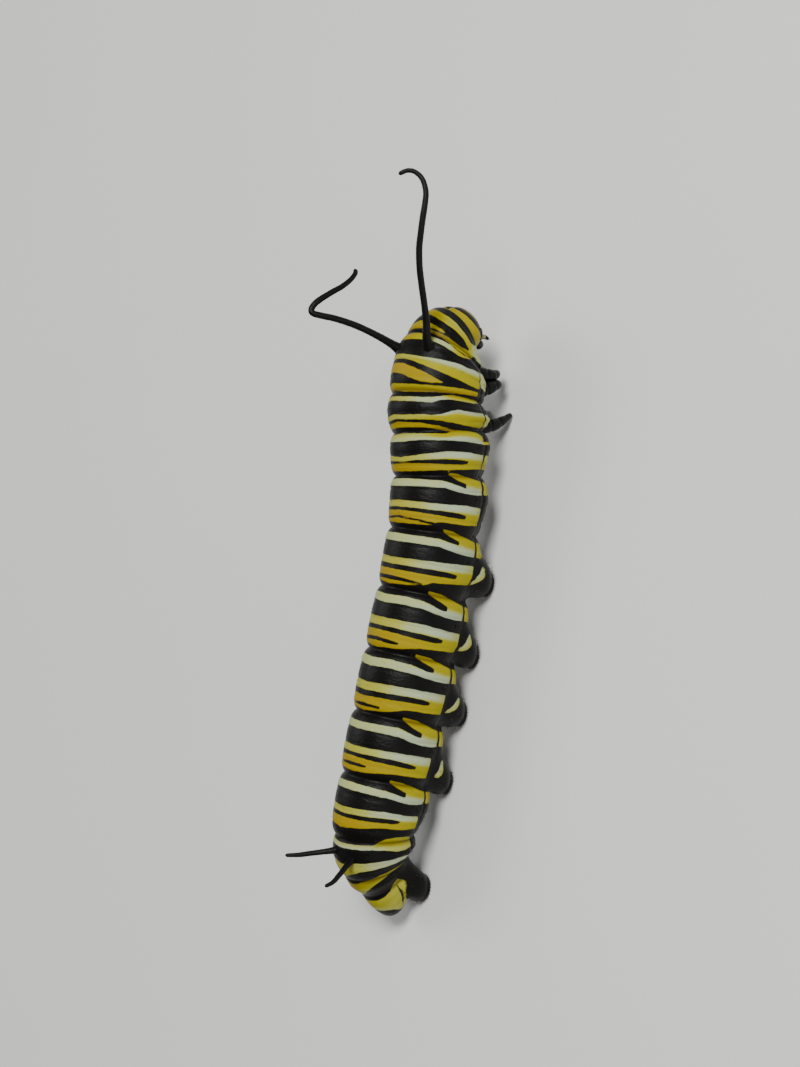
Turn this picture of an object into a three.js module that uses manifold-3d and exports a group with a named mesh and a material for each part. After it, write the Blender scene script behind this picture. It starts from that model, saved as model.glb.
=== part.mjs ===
// A monarch larva in its last instar, at life size, standing on a level floor on its legs and prolegs.
// Millimetres, +Z up. The head faces -Y and the animal's right side is at -X. The front is held a little
// higher than the rest and drawn to the left, the head is tucked down, and the tail slopes to the floor.
// Head, body segments, legs, prolegs, filaments and antennae are separate solids, a thin gap apart.

import * as THREE from "three";
import { mergeVertices } from "three/addons/utils/BufferGeometryUtils.js";
import Module from "manifold-3d";

const wasm = await Module();
wasm.setup();

// Driving dimensions
const GAP = 0.3; // between pieces that touch
const BODY_SIDES = 32;
const LEG_SIDES = 10;
const FILAMENT_SIDES = 8;
const FOLD_DEPTH = 0.24;
const FOLD_WIDTH = 0.38;
const LOBE_HEIGHT = 0.26; // the fleshy lobe low on each flank of a segment
const TAIL_LOBE_HEIGHT = 0.06;
const LOBE_LENGTH = 0.27; // as a share of the segment's length
const THORAX_LOBE_PLACES = [0.5, 0.38, 0.66]; // shares of a segment's length where the lobe is highest
const ABDOMEN_LOBE_PLACE = 0.38;
const FRONT_LOBE_HEIGHT = 0.5; // on the prothorax
const HOLLOW_DEPTH = 0.16; // behind the lobe
const HOLLOW_PLACE = 0.9;
const HOLLOW_LENGTH = 0.2;
const LOBE_TURN = 130; // degrees from the middle of the back
const LOBE_WIDTH = 15;
const BELLY_FLATTENING = 0.25;

// The folds between the segments, from the neck to the tail end. forward, right and up place the middle
// of the body there, and pitch is how many degrees the body points down as it goes forward. swelling is
// how far the segment behind the fold stands out in its middle.
const FOLDS = [
  { forward: 18.2, right: -1.5, up: 5.0, pitch: 50, radius: 2.35, swelling: -0.05 },
  { forward: 16.7, right: -1.45, up: 5.65, pitch: 24, radius: 2.92, swelling: 0.05 },
  { forward: 13.62, right: -1.1, up: 5.58, pitch: 1, radius: 3.3, swelling: 0.05 },
  { forward: 11.4, right: -0.75, up: 5.15, pitch: -10, radius: 3.28, swelling: 0.05 },
  { forward: 8.45, right: -0.35, up: 4.65, pitch: -8, radius: 3.22, swelling: 0.05 },
  { forward: 4.7, right: -0.05, up: 4.32, pitch: -3, radius: 3.18, swelling: 0.05 },
  { forward: 0.5, right: 0, up: 4.22, pitch: 0, radius: 3.16, swelling: 0.05 },
  { forward: -3.8, right: 0, up: 4.22, pitch: 0, radius: 3.18, swelling: 0.05 },
  { forward: -8.1, right: 0, up: 4.22, pitch: 0, radius: 3.18, swelling: 0.05 },
  { forward: -12.35, right: 0, up: 4.22, pitch: -2, radius: 3.12, swelling: 0.05 },
  { forward: -16.2, right: 0, up: 4.18, pitch: -12, radius: 2.92, swelling: 0.05 },
  { forward: -18.1, right: 0, up: 3.6, pitch: -38, radius: 2.5, swelling: 0 },
  { forward: -19.05, right: 0, up: 2.72, pitch: -55, radius: 2.0, swelling: 0 },
  { forward: -21.1, right: 0.25, up: 1.15, pitch: -62, radius: 1.35, swelling: 0 },
];
const SEGMENTS = [
  "prothorax",
  "mesothorax",
  "metathorax",
  "abdomen_1",
  "abdomen_2",
  "abdomen_3",
  "abdomen_4",
  "abdomen_5",
  "abdomen_6",
  "abdomen_7",
  "abdomen_8",
  "abdomen_9",
  "anal_segment",
];
const PROTHORAX = 0;
const FIRST_ABDOMINAL_SEGMENT = 3;
const FIRST_PROLEG_SEGMENT = 5;
const ANAL_SEGMENT = 12;

// Head capsule, measured across, from crown to mouth and from face to neck
const HEAD = { width: 3.7, height: 3.76, depth: 2.9, pitch: 35, forward: 18.6, right: -1.82, up: 4.48 };
const SUTURE_DEPTH = 0.16; // between the head's two lobes, as a share of its size
const STEMMATA = 6; // simple eyes on each cheek
const STEMMA_RADIUS = 0.13;

// Where the prolegs stand, how far from the middle line of the body, and how thick they are
const PROLEG = { lean: 0.45, root: 1.26, ankle: 0.76, sole: 0.66, top: 2.5 };
const PROLEG_PLACES = [0.52, 0.6, 0.6, 0.68]; // shares of each segment's length, front pair first
const PROLEG_SPREADS = [1.55, 1.52, 1.48, 1.42];
const PROLEG_SLANTS = [0.65, 1.1, 0.8, 0.95]; // how far the sole stands behind the root
const ANAL_PROLEG = { lean: 0.1, root: 1.0, ankle: 0.84, sole: 0.74, top: 2.2 };
const ANAL_PROLEG_STANCE = { forward: -18.95, middle: 0, spread: 1.3, slant: 0.45 };
const PROLEG_LENGTHENING = 1.2; // a proleg is this much longer along the body than across it

// Materials
const stripedSkin = { color: 0xb59a35, roughness: 0.55, metalness: 0 };
const blackSkin = { color: 0x16150f, roughness: 0.5, metalness: 0 };
const headShell = { color: 0x2a2716, roughness: 0.35, metalness: 0 };

const model = new THREE.Group();

const RIGHT = 1;
const LEFT = -1;
const sideName = (side) => (side === RIGHT ? "right" : "left");

// A point given as the animal's own directions.
const at = (forward, right, up) => new THREE.Vector3(-right, -forward, up);

// A smooth value between the folds. place 0 is the neck and 13 the tail end.
function valueAt(key, place) {
  const last = FOLDS.length - 1;
  const first = Math.min(Math.max(Math.floor(place), 0), last - 1);
  const t = place - first;
  const fold = (n) => FOLDS[Math.min(Math.max(n, 0), last)][key];
  const [a, b, c, d] = [fold(first - 1), fold(first), fold(first + 1), fold(first + 2)];
  const slopeIn = (c - a) / 2;
  const slopeOut = (d - b) / 2;
  const curve = 2 * b - 2 * c + slopeIn + slopeOut;
  const bend = -3 * b + 3 * c - 2 * slopeIn - slopeOut;
  return ((curve * t + bend) * t + slopeIn) * t + b;
}

// The middle of the body and its three directions at a place, moved by shift along the body.
function bodyFrame(place, shift = 0) {
  const pitch = THREE.MathUtils.degToRad(valueAt("pitch", place));
  const drift = valueAt("right", place - 0.5) - valueAt("right", place + 0.5);
  const run = valueAt("forward", place - 0.5) - valueAt("forward", place + 0.5);
  const yaw = Math.atan2(drift, run);
  const forward = at(Math.cos(pitch) * Math.cos(yaw), Math.cos(pitch) * Math.sin(yaw), -Math.sin(pitch));
  const dorsal = at(Math.sin(pitch) * Math.cos(yaw), Math.sin(pitch) * Math.sin(yaw), Math.cos(pitch));
  const right = at(-Math.sin(yaw), Math.cos(yaw), 0);
  const middle = at(valueAt("forward", place), valueAt("right", place), valueAt("up", place));
  middle.addScaledVector(forward, shift);
  return { middle, forward, dorsal, right };
}

const hump = (distance, width) => Math.exp(-((distance / width) ** 2));

// How far the lobe low on a flank stands out, part of the way along a segment. Behind it is a hollow.
function flankLobe(segment, part) {
  const inThorax = segment < FIRST_ABDOMINAL_SEGMENT;
  const place = inThorax ? THORAX_LOBE_PLACES[segment] : ABDOMEN_LOBE_PLACE;
  const intoTail = THREE.MathUtils.smoothstep(segment + part, 8.8, 10.4);
  const usual = THREE.MathUtils.lerp(LOBE_HEIGHT, TAIL_LOBE_HEIGHT, intoTail);
  const height = segment === PROTHORAX ? FRONT_LOBE_HEIGHT : usual;
  const hollow = inThorax ? 0 : HOLLOW_DEPTH * hump(part - HOLLOW_PLACE, HOLLOW_LENGTH);
  return height * hump(part - place, LOBE_LENGTH) - hollow;
}

// Distance from the middle of the body to the skin. turn is the angle from the middle of the back.
function skinRadius(place, turn) {
  const segment = Math.min(Math.max(Math.floor(place), 0), SEGMENTS.length - 1);
  const part = Math.min(Math.max(place - segment, 0), 1);
  const length = FOLDS[segment].forward - FOLDS[segment + 1].forward;
  const toFold = Math.min(part, 1 - part) * length;
  const degrees = Math.abs(THREE.MathUtils.radToDeg(turn));
  let radius = valueAt("radius", place);
  if (segment === ANAL_SEGMENT) radius *= Math.sqrt(1 - 0.94 * part ** 3);
  const scale = radius / FOLDS[FIRST_PROLEG_SEGMENT].radius;
  const fullness = Math.sin(Math.PI * part);
  const { swelling } = FOLDS[segment];
  const ridge = flankLobe(segment, part) * hump(degrees - LOBE_TURN, LOBE_WIDTH);
  const belly = BELLY_FLATTENING * THREE.MathUtils.smoothstep(degrees, 140, 180);
  const atTailEnd = segment === ANAL_SEGMENT && part > 0.5;
  const fold = atTailEnd ? 0 : FOLD_DEPTH * hump(toFold, FOLD_WIDTH);
  return radius + scale * (swelling * fullness - fold + ridge - belly);
}

function skinPoint(frame, place, turn, reach, grow) {
  const radius = reach * (skinRadius(place, turn) + grow);
  return frame.middle
    .clone()
    .addScaledVector(frame.dorsal, radius * Math.cos(turn))
    .addScaledVector(frame.right, radius * Math.sin(turn));
}

// A closed cylinder whose rings are put where place(ring, turn, reach) says. reach is 0 at an end's middle.
function shapedCylinder(sides, rings, place) {
  const geometry = new THREE.CylinderGeometry(1, 1, rings, sides, rings);
  geometry.deleteAttribute("normal");
  geometry.deleteAttribute("uv");
  const closed = mergeVertices(geometry);
  const position = closed.getAttribute("position");
  for (let i = 0; i < position.count; i++) {
    const ring = Math.round(rings / 2 - position.getY(i));
    const reach = Math.hypot(position.getX(i), position.getZ(i));
    const turn = Math.atan2(position.getX(i), position.getZ(i));
    position.setXYZ(i, ...place(ring, turn, reach).toArray());
  }
  return closed;
}

// A closed sphere whose points are put where place(direction) says.
function shapedSphere(sides, rings, place) {
  const geometry = new THREE.SphereGeometry(1, sides, rings);
  geometry.deleteAttribute("normal");
  geometry.deleteAttribute("uv");
  const closed = mergeVertices(geometry);
  const position = closed.getAttribute("position");
  for (let i = 0; i < position.count; i++) {
    const direction = new THREE.Vector3().fromBufferAttribute(position, i);
    position.setXYZ(i, ...place(direction).toArray());
  }
  return closed;
}

// A round limb along a smooth curve. thickness(t) is its radius from root, 0, to tip, 1.
function limb(points, thickness, sides, rings) {
  const curve = new THREE.CatmullRomCurve3(points);
  const frames = curve.computeFrenetFrames(rings, false);
  return shapedCylinder(sides, rings, (ring, turn, reach) => {
    const radius = reach * thickness(ring / rings);
    return curve
      .getPointAt(ring / rings)
      .addScaledVector(frames.normals[ring], radius * Math.cos(turn))
      .addScaledVector(frames.binormals[ring], -radius * Math.sin(turn));
  });
}

// Solids for cuts and joins
function solidOf(geometry) {
  const mesh = new wasm.Mesh({
    numProp: 3,
    vertProperties: new Float32Array(geometry.getAttribute("position").array),
    triVerts: new Uint32Array(geometry.index.array),
  });
  return new wasm.Manifold(mesh);
}

function largestPiece(solid) {
  return solid.decompose().reduce((a, b) => (a.volume() > b.volume() ? a : b));
}

function geometryOf(solid) {
  const mesh = solid.getMesh();
  const geometry = new THREE.BufferGeometry();
  geometry.setAttribute("position", new THREE.BufferAttribute(mesh.vertProperties, 3));
  geometry.setIndex(new THREE.BufferAttribute(mesh.triVerts, 1));
  return geometry;
}

function addNode(name, geometry, finish) {
  geometry.computeVertexNormals();
  const mesh = new THREE.Mesh(geometry, new THREE.MeshStandardMaterial(finish));
  mesh.name = name;
  model.add(mesh);
}

// Body segments

// Shares of a segment's length at which it has a ring, between its two end faces
const RING_SHARES = [0.13, 0.3, 0.5, 0.7, 0.87];
const NECK_RING_SHARES = [0.4, 0.7];
const TAIL_RING_SHARES = [0.25, 0.5, 0.7, 0.84, 0.94];

function segmentGeometry(segment) {
  const shares = { [PROTHORAX]: NECK_RING_SHARES, [ANAL_SEGMENT]: TAIL_RING_SHARES }[segment] ?? RING_SHARES;
  const frontShift = segment === PROTHORAX ? 0 : -GAP / 2;
  const rearShift = segment === ANAL_SEGMENT ? 0 : GAP / 2;
  const rings = [
    { place: segment, frame: bodyFrame(segment, frontShift) },
    ...shares.map((share) => ({ place: segment + share, frame: bodyFrame(segment + share) })),
    { place: segment + 1 - 1e-6, frame: bodyFrame(segment + 1, rearShift) },
  ];
  return shapedCylinder(BODY_SIDES, rings.length - 1, (ring, turn, reach) => {
    const { place, frame } = rings[ring];
    return skinPoint(frame, place, turn, reach, 0);
  });
}

SEGMENTS.forEach((name, segment) => addNode(name, segmentGeometry(segment), stripedSkin));

// The whole body as one solid, grown by the gap, which cuts the root of whatever stands on it.
function wholeBody(grow) {
  const perSegment = 8;
  const rings = SEGMENTS.length * perSegment;
  const geometry = shapedCylinder(BODY_SIDES, rings, (ring, turn, reach) => {
    const place = Math.min(ring / perSegment, SEGMENTS.length - 1e-6);
    const endShift = ring === 0 ? grow : 0;
    return skinPoint(bodyFrame(place, endShift), place, turn, reach, grow);
  });
  return solidOf(geometry);
}

const bodyWithGap = wholeBody(GAP);

const FLOOR_BLOCK = 80;
const belowFloor = solidOf(
  mergeVertices(
    new THREE.BoxGeometry(FLOOR_BLOCK, FLOOR_BLOCK, FLOOR_BLOCK)
      .translate(0, 0, -FLOOR_BLOCK / 2)
      .deleteAttribute("normal")
      .deleteAttribute("uv"),
  ),
);

const rootedOnBody = (solid) => largestPiece(solid.subtract(bodyWithGap));

// Head: a rounded capsule with two low lobes, simple eyes on the cheeks, and jaws below

const headPitch = THREE.MathUtils.degToRad(HEAD.pitch);
const face = at(Math.cos(headPitch), 0, -Math.sin(headPitch));
const crown = at(Math.sin(headPitch), 0, Math.cos(headPitch));
const headRight = at(0, 1, 0);
const headMiddle = at(HEAD.forward, HEAD.right, HEAD.up);

// A point of the head from its own directions, in millimetres from its middle.
const inHead = (right, up, out) =>
  headMiddle.clone().addScaledVector(headRight, right).addScaledVector(crown, up).addScaledVector(face, out);

// The capsule's surface. It narrows to the mouth, and a shallow suture parts its two lobes.
function capsulePoint(direction) {
  const { x: left, y: up, z: out } = direction;
  const narrowing = 1 - 0.1 * THREE.MathUtils.smoothstep(-up, 0.1, 1);
  const suture = SUTURE_DEPTH * hump(left, 0.16) * THREE.MathUtils.smoothstep(up, -0.1, 0.5);
  const size = 1 - suture;
  return inHead(
    -left * (HEAD.width / 2) * narrowing,
    up * (HEAD.height / 2) * size,
    out * (HEAD.depth / 2) * size,
  );
}

function ball(middle, sizes, sides = 10, rings = 7) {
  const spread = (direction) =>
    middle
      .clone()
      .addScaledVector(headRight, -direction.x * sizes[0])
      .addScaledVector(crown, direction.y * sizes[1])
      .addScaledVector(face, direction.z * sizes[2]);
  return solidOf(shapedSphere(sides, rings, spread));
}

// The direction of a simple eye: five in an arc and one behind it, low on the cheek.
function stemmaDirection(side, n) {
  const onArc = n < STEMMATA - 1;
  const angle = THREE.MathUtils.degToRad(-62 + 31 * n);
  const across = onArc ? 0.15 * Math.cos(angle) : -0.12;
  const along = onArc ? 0.2 * Math.sin(angle) : -0.18;
  return new THREE.Vector3(-side * 0.8, -0.42 + along, 0.42 + across).normalize();
}

let head = solidOf(shapedSphere(24, 16, capsulePoint));
head = head.add(ball(inHead(0, -1.56, 0.78), [0.62, 0.34, 0.3]));
for (const side of [LEFT, RIGHT]) {
  head = head.add(ball(inHead(side * 0.46, -1.78, 0.48), [0.44, 0.42, 0.4]));
  head = head.add(ball(inHead(side * 0.42, -1.74, -0.1), [0.3, 0.42, 0.3]));
  for (let n = 0; n < STEMMATA; n++) {
    const middle = capsulePoint(stemmaDirection(side, n));
    head = head.add(ball(middle, [STEMMA_RADIUS, STEMMA_RADIUS, STEMMA_RADIUS], 6, 4));
  }
}
addNode("head", geometryOf(rootedOnBody(head)), headShell);

// The head grown by the gap, which cuts the roots of the antennae
const headWithGap = solidOf(
  shapedSphere(24, 16, (direction) => {
    const point = capsulePoint(direction);
    return point.addScaledVector(point.clone().sub(headMiddle).normalize(), GAP);
  }),
);

const ANTENNA = { length: 1.0, root: 0.3, tip: 0.2 };
for (const side of [LEFT, RIGHT]) {
  const root = inHead(side * 0.9, -1.0, 0.6);
  const points = [root, inHead(side * 1.05, -1.45, 0.95), inHead(side * 1.1, -1.76, 1.1)];
  const thickness = (t) => THREE.MathUtils.lerp(ANTENNA.root, ANTENNA.tip, t);
  const solid = solidOf(limb(points, thickness, LEG_SIDES, 4));
  addNode(`antenna_${sideName(side)}`, geometryOf(largestPiece(solid.subtract(headWithGap))), blackSkin);
}

// True legs: three pairs of tapered, jointed legs with the tips flat on the floor or held up

// Points from the root inside the body to the tip. across is from the body's middle line there.
const LEGS = [
  {
    name: "leg_front",
    middle: -1.48,
    thickness: 0.58,
    points: [
      { forward: 15.85, across: 0.8, up: 3.4 },
      { forward: 16.0, across: 1.35, up: 2.3 },
      { forward: 16.2, across: 1.3, up: 1.65 },
      { forward: 16.4, across: 0.85, up: 1.2 },
    ],
  },
  {
    name: "leg_middle",
    middle: -1.35,
    thickness: 0.62,
    points: [
      { forward: 14.75, across: 0.9, up: 3.5 },
      { forward: 15.1, across: 1.4, up: 2.4 },
      { forward: 15.5, across: 1.5, up: 1.65 },
      { forward: 15.4, across: 0.95, up: 1.1 },
    ],
  },
  {
    name: "leg_rear",
    middle: -0.95,
    thickness: 0.62,
    points: [
      { forward: 12.3, across: 0.9, up: 3.0 },
      { forward: 12.7, across: 1.4, up: 1.6 },
      { forward: 13.25, across: 1.5, up: 0.7 },
      { forward: 13.75, across: 1.4, up: -0.25 },
    ],
  },
];

// A leg's radius steps down a little at each joint, which a wave on the taper shows.
const legThickness = (root) => (t) => root * (1 - 0.62 * t) * (1 + 0.03 * Math.cos(6 * Math.PI * t));

for (const leg of LEGS) {
  for (const side of [LEFT, RIGHT]) {
    const points = leg.points.map((p) => at(p.forward, leg.middle + side * p.across, p.up));
    const solid = solidOf(limb(points, legThickness(leg.thickness), LEG_SIDES, 10));
    addNode(`${leg.name}_${sideName(side)}`, geometryOf(rootedOnBody(solid.subtract(belowFloor))), blackSkin);
  }
}

// Prolegs: stout, fleshy, widest at the root, with a narrower foot that stands flat

// spread is how far the sole stands to the side, and slant how far behind the root.
function prolegSolid(sizes, side, { forward, middle, spread, slant }) {
  const heights = [sizes.top, 1.3, 0.95, 0.62, 0.4, 0.22, 0];
  const radii = [1, 1, 0.92, 0.76].map((share) => share * sizes.root);
  radii.push(sizes.ankle, sizes.sole, sizes.sole);
  const geometry = shapedCylinder(LEG_SIDES + 4, heights.length - 1, (ring, turn, reach) => {
    const rise = heights[ring] / sizes.top;
    const radius = reach * radii[ring];
    return at(
      forward - slant * (1 - rise) + PROLEG_LENGTHENING * radius * Math.cos(turn),
      middle + side * (spread + sizes.lean * rise) - radius * Math.sin(turn),
      heights[ring],
    );
  });
  return rootedOnBody(solidOf(geometry));
}

for (const side of [LEFT, RIGHT]) {
  PROLEG_PLACES.forEach((share, pair) => {
    const place = FIRST_PROLEG_SEGMENT + pair + share;
    const solid = prolegSolid(PROLEG, side, {
      forward: valueAt("forward", place),
      middle: valueAt("right", place),
      spread: PROLEG_SPREADS[pair],
      slant: PROLEG_SLANTS[pair],
    });
    addNode(`proleg_${pair + 1}_${sideName(side)}`, geometryOf(solid), blackSkin);
  });
  const solid = prolegSolid(ANAL_PROLEG, side, ANAL_PROLEG_STANCE);
  addNode(`anal_proleg_${sideName(side)}`, geometryOf(solid), blackSkin);
}

// Filaments: soft black feelers, one pair on the mesothorax and one on the eighth abdominal segment.
// A front one is in lengths with the gap between them. Points are forward, right and up, from the root.
// The three radii are at its start, at FLARE_SHARE of its length and at its end.
const FLARE_SHARE = 0.3;

const FILAMENTS = [
  {
    name: "front_filament_right_base",
    radii: [0.46, 0.3, 0.25],
    strands: [
      [
        [16.6, -0.08, 7.7],
        [17.3, 0.42, 8.6],
        [18.27, 0.61, 9.04],
        [19.43, 0.77, 9.65],
        [20.57, 0.83, 10.22],
        [21.72, 0.91, 10.77],
        [22.6, 0.98, 11.09],
      ],
    ],
  },
  {
    name: "front_filament_right_tip",
    radii: [0.25, 0.23, 0.18],
    rounded: true,
    strands: [
      [
        [22.88, 1.01, 11.18],
        [23.83, 1.15, 11.41],
        [24.91, 1.26, 11.59],
        [25.87, 1.3, 11.68],
        [26.62, 1.24, 11.77],
        [27.36, 0.94, 12.03],
        [27.73, 0.51, 12.41],
        [27.72, 0.1, 12.77],
        [27.38, -0.29, 13.11],
      ],
    ],
  },
  {
    name: "front_filament_left_base",
    radii: [0.46, 0.31, 0.26],
    strands: [
      [
        [16.3, -3.2, 7.3],
        [16.65, -3.54, 8.18],
        [16.96, -3.88, 9.09],
        [17.25, -4.38, 10.06],
        [17.46, -4.87, 11.01],
        [17.57, -5.32, 11.85],
      ],
    ],
  },
  {
    name: "front_filament_left_elbow",
    radii: [0.26, 0.26, 0.25],
    ball: [17.6, -6.28, 13.6],
    strands: [
      [
        [17.58, -5.46, 12.11],
        [17.58, -5.89, 12.93],
        [17.6, -6.28, 13.6],
      ],
      [
        [17.6, -6.28, 13.6],
        [17.9, -6.36, 13.6],
        [18.45, -6.27, 13.28],
      ],
    ],
  },
  {
    name: "front_filament_left_tip",
    radii: [0.25, 0.23, 0.18],
    rounded: true,
    strands: [
      [
        [18.68, -6.22, 13.1],
        [19.31, -6.07, 12.39],
        [19.85, -5.95, 11.74],
        [20.46, -5.97, 11.13],
        [21.01, -6.06, 10.77],
        [21.31, -6.22, 10.79],
      ],
    ],
  },
  {
    name: "rear_filament_right",
    radii: [0.36, 0.27, 0.22],
    rounded: true,
    strands: [
      [
        [-17.6, 0.75, 5.8],
        [-18.23, 1.05, 6.69],
        [-19.05, 1.52, 7.7],
        [-19.5, 1.73, 8.26],
        [-19.8, 1.84, 8.92],
      ],
    ],
  },
  {
    name: "rear_filament_left",
    radii: [0.36, 0.27, 0.22],
    rounded: true,
    strands: [
      [
        [-17.5, -0.65, 5.9],
        [-17.8, -0.9, 6.75],
        [-18.27, -1.69, 7.92],
        [-18.53, -2.11, 8.62],
        [-18.72, -2.57, 9.37],
      ],
    ],
  },
];
const TIP_SHARE = 0.06; // the rounded end's share of a filament's length

function filamentThickness({ radii, rounded }) {
  return (t) => {
    const flared = THREE.MathUtils.lerp(radii[0], radii[1], Math.min(t / FLARE_SHARE, 1));
    const narrowing = radii[1] - radii[2];
    const straight = flared - narrowing * Math.max(0, (t - FLARE_SHARE) / (1 - FLARE_SHARE));
    const intoTip = rounded ? Math.max(0, (t - 1 + TIP_SHARE) / TIP_SHARE) : 0;
    return straight * Math.sqrt(1 - 0.8 * intoTip ** 2);
  };
}

for (const filament of FILAMENTS) {
  const strands = filament.strands.map((strand) => {
    const points = strand.map((p) => at(...p));
    return solidOf(limb(points, filamentThickness(filament), FILAMENT_SIDES, 2 * (points.length - 1)));
  });
  if (filament.ball) strands.push(ball(at(...filament.ball), Array(3).fill(filament.radii[0]), 8, 6));
  addNode(filament.name, geometryOf(rootedOnBody(wasm.Manifold.union(strands))), blackSkin);
}

// The origin is on the floor under the middle of the whole animal's box.
model.updateMatrixWorld(true);
const box = new THREE.Box3().setFromObject(model, true);
const middle = box.getCenter(new THREE.Vector3());
for (const mesh of model.children) mesh.geometry.translate(-middle.x, -middle.y, -box.min.z);

export default model;
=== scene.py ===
"""Looks of a life-size monarch larva in its last instar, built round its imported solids.

Everything is in metres in the part's own frame: the head faces -Y and the animal's right side is at -X.
The shapes are worked out in millimetres in the animal's own directions, forward, right and up.
"""

import math

import bpy
import numpy as np
from mathutils import Matrix, Vector


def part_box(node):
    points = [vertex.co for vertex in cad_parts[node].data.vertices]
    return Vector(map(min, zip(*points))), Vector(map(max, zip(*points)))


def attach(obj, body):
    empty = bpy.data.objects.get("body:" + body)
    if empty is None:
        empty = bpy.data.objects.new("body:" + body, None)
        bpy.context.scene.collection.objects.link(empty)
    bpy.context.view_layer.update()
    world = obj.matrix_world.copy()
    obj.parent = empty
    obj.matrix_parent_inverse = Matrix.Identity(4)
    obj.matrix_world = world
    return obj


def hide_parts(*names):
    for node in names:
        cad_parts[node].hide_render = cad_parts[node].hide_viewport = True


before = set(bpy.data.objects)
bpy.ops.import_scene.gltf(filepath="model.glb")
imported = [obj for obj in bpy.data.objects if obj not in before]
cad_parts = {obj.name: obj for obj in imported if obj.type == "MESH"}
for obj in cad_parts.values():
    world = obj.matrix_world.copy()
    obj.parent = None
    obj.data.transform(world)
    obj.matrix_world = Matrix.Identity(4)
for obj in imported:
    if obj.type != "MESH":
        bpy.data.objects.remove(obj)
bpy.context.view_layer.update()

MM = 0.001
SEED = 7
RIGHT, LEFT = 1, -1
SIDE_NAMES = {RIGHT: "right", LEFT: "left"}


# Where the animal's own directions lie in the part's frame

FIFTH_SEGMENT_FRONT = -3.95
low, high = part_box("abdomen_5")
MIDDLE_X = (low.x + high.x) / 2 / MM
MIDDLE_Y = low.y / MM + FIFTH_SEGMENT_FRONT


def placed(points):
    """Points given as forward, right and up in millimetres, in the part's frame in metres."""
    points = np.asarray(points, float)
    x = MIDDLE_X - points[..., 1]
    y = MIDDLE_Y - points[..., 0]
    return np.stack([x, y, points[..., 2]], -1) * MM


def turned(directions):
    """Directions given as forward, right and up, in the part's frame."""
    directions = np.asarray(directions, float)
    return np.stack([-directions[..., 1], -directions[..., 0], directions[..., 2]], -1)


# Camera, at the photograph's viewing angle

CAMERA_TARGET = (4.16, -1.41, 6.1)
CAMERA_SIDE = (0.0, 0.788, 0.616)
CAMERA_DISTANCE = 171.5
CAMERA_ROLL = math.radians(11.5)
CAMERA_LENS = 85.0


def add_camera():
    back = turned(CAMERA_SIDE)
    level = turned((0.0, CAMERA_SIDE[2], -CAMERA_SIDE[1]))
    ahead = turned((1.0, 0.0, 0.0))
    across = math.cos(CAMERA_ROLL) * level + math.sin(CAMERA_ROLL) * ahead
    upward = math.cos(CAMERA_ROLL) * ahead - math.sin(CAMERA_ROLL) * level
    data = bpy.data.cameras.new("camera")
    data.lens = CAMERA_LENS
    data.sensor_width = 36
    data.clip_start = 0.01
    data.clip_end = 10
    camera = bpy.data.objects.new("camera", data)
    bpy.context.scene.collection.objects.link(camera)
    eye = placed(CAMERA_TARGET) + back * CAMERA_DISTANCE * MM
    camera.matrix_world = Matrix(
        [
            (across[0], upward[0], back[0], eye[0]),
            (across[1], upward[1], back[1], eye[1]),
            (across[2], upward[2], back[2], eye[2]),
            (0, 0, 0, 1),
        ]
    )
    bpy.context.scene.camera = camera


add_camera()


# Materials


class Value:
    """A shader socket that can be used in a Python expression. Each operator adds a Math node."""

    def __init__(self, finish, socket):
        self.finish = finish
        self.socket = socket

    def __add__(self, other):
        return self.finish.math("ADD", self, other)

    def __radd__(self, other):
        return self.finish.math("ADD", other, self)

    def __sub__(self, other):
        return self.finish.math("SUBTRACT", self, other)

    def __rsub__(self, other):
        return self.finish.math("SUBTRACT", other, self)

    def __mul__(self, other):
        return self.finish.math("MULTIPLY", self, other)

    def __rmul__(self, other):
        return self.finish.math("MULTIPLY", other, self)


SURFACE_SOCKETS = {
    "color": "Base Color",
    "roughness": "Roughness",
    "normal": "Normal",
    "specular": "Specular IOR Level",
}
NOISE_ROUGHNESS = 0.55


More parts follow.
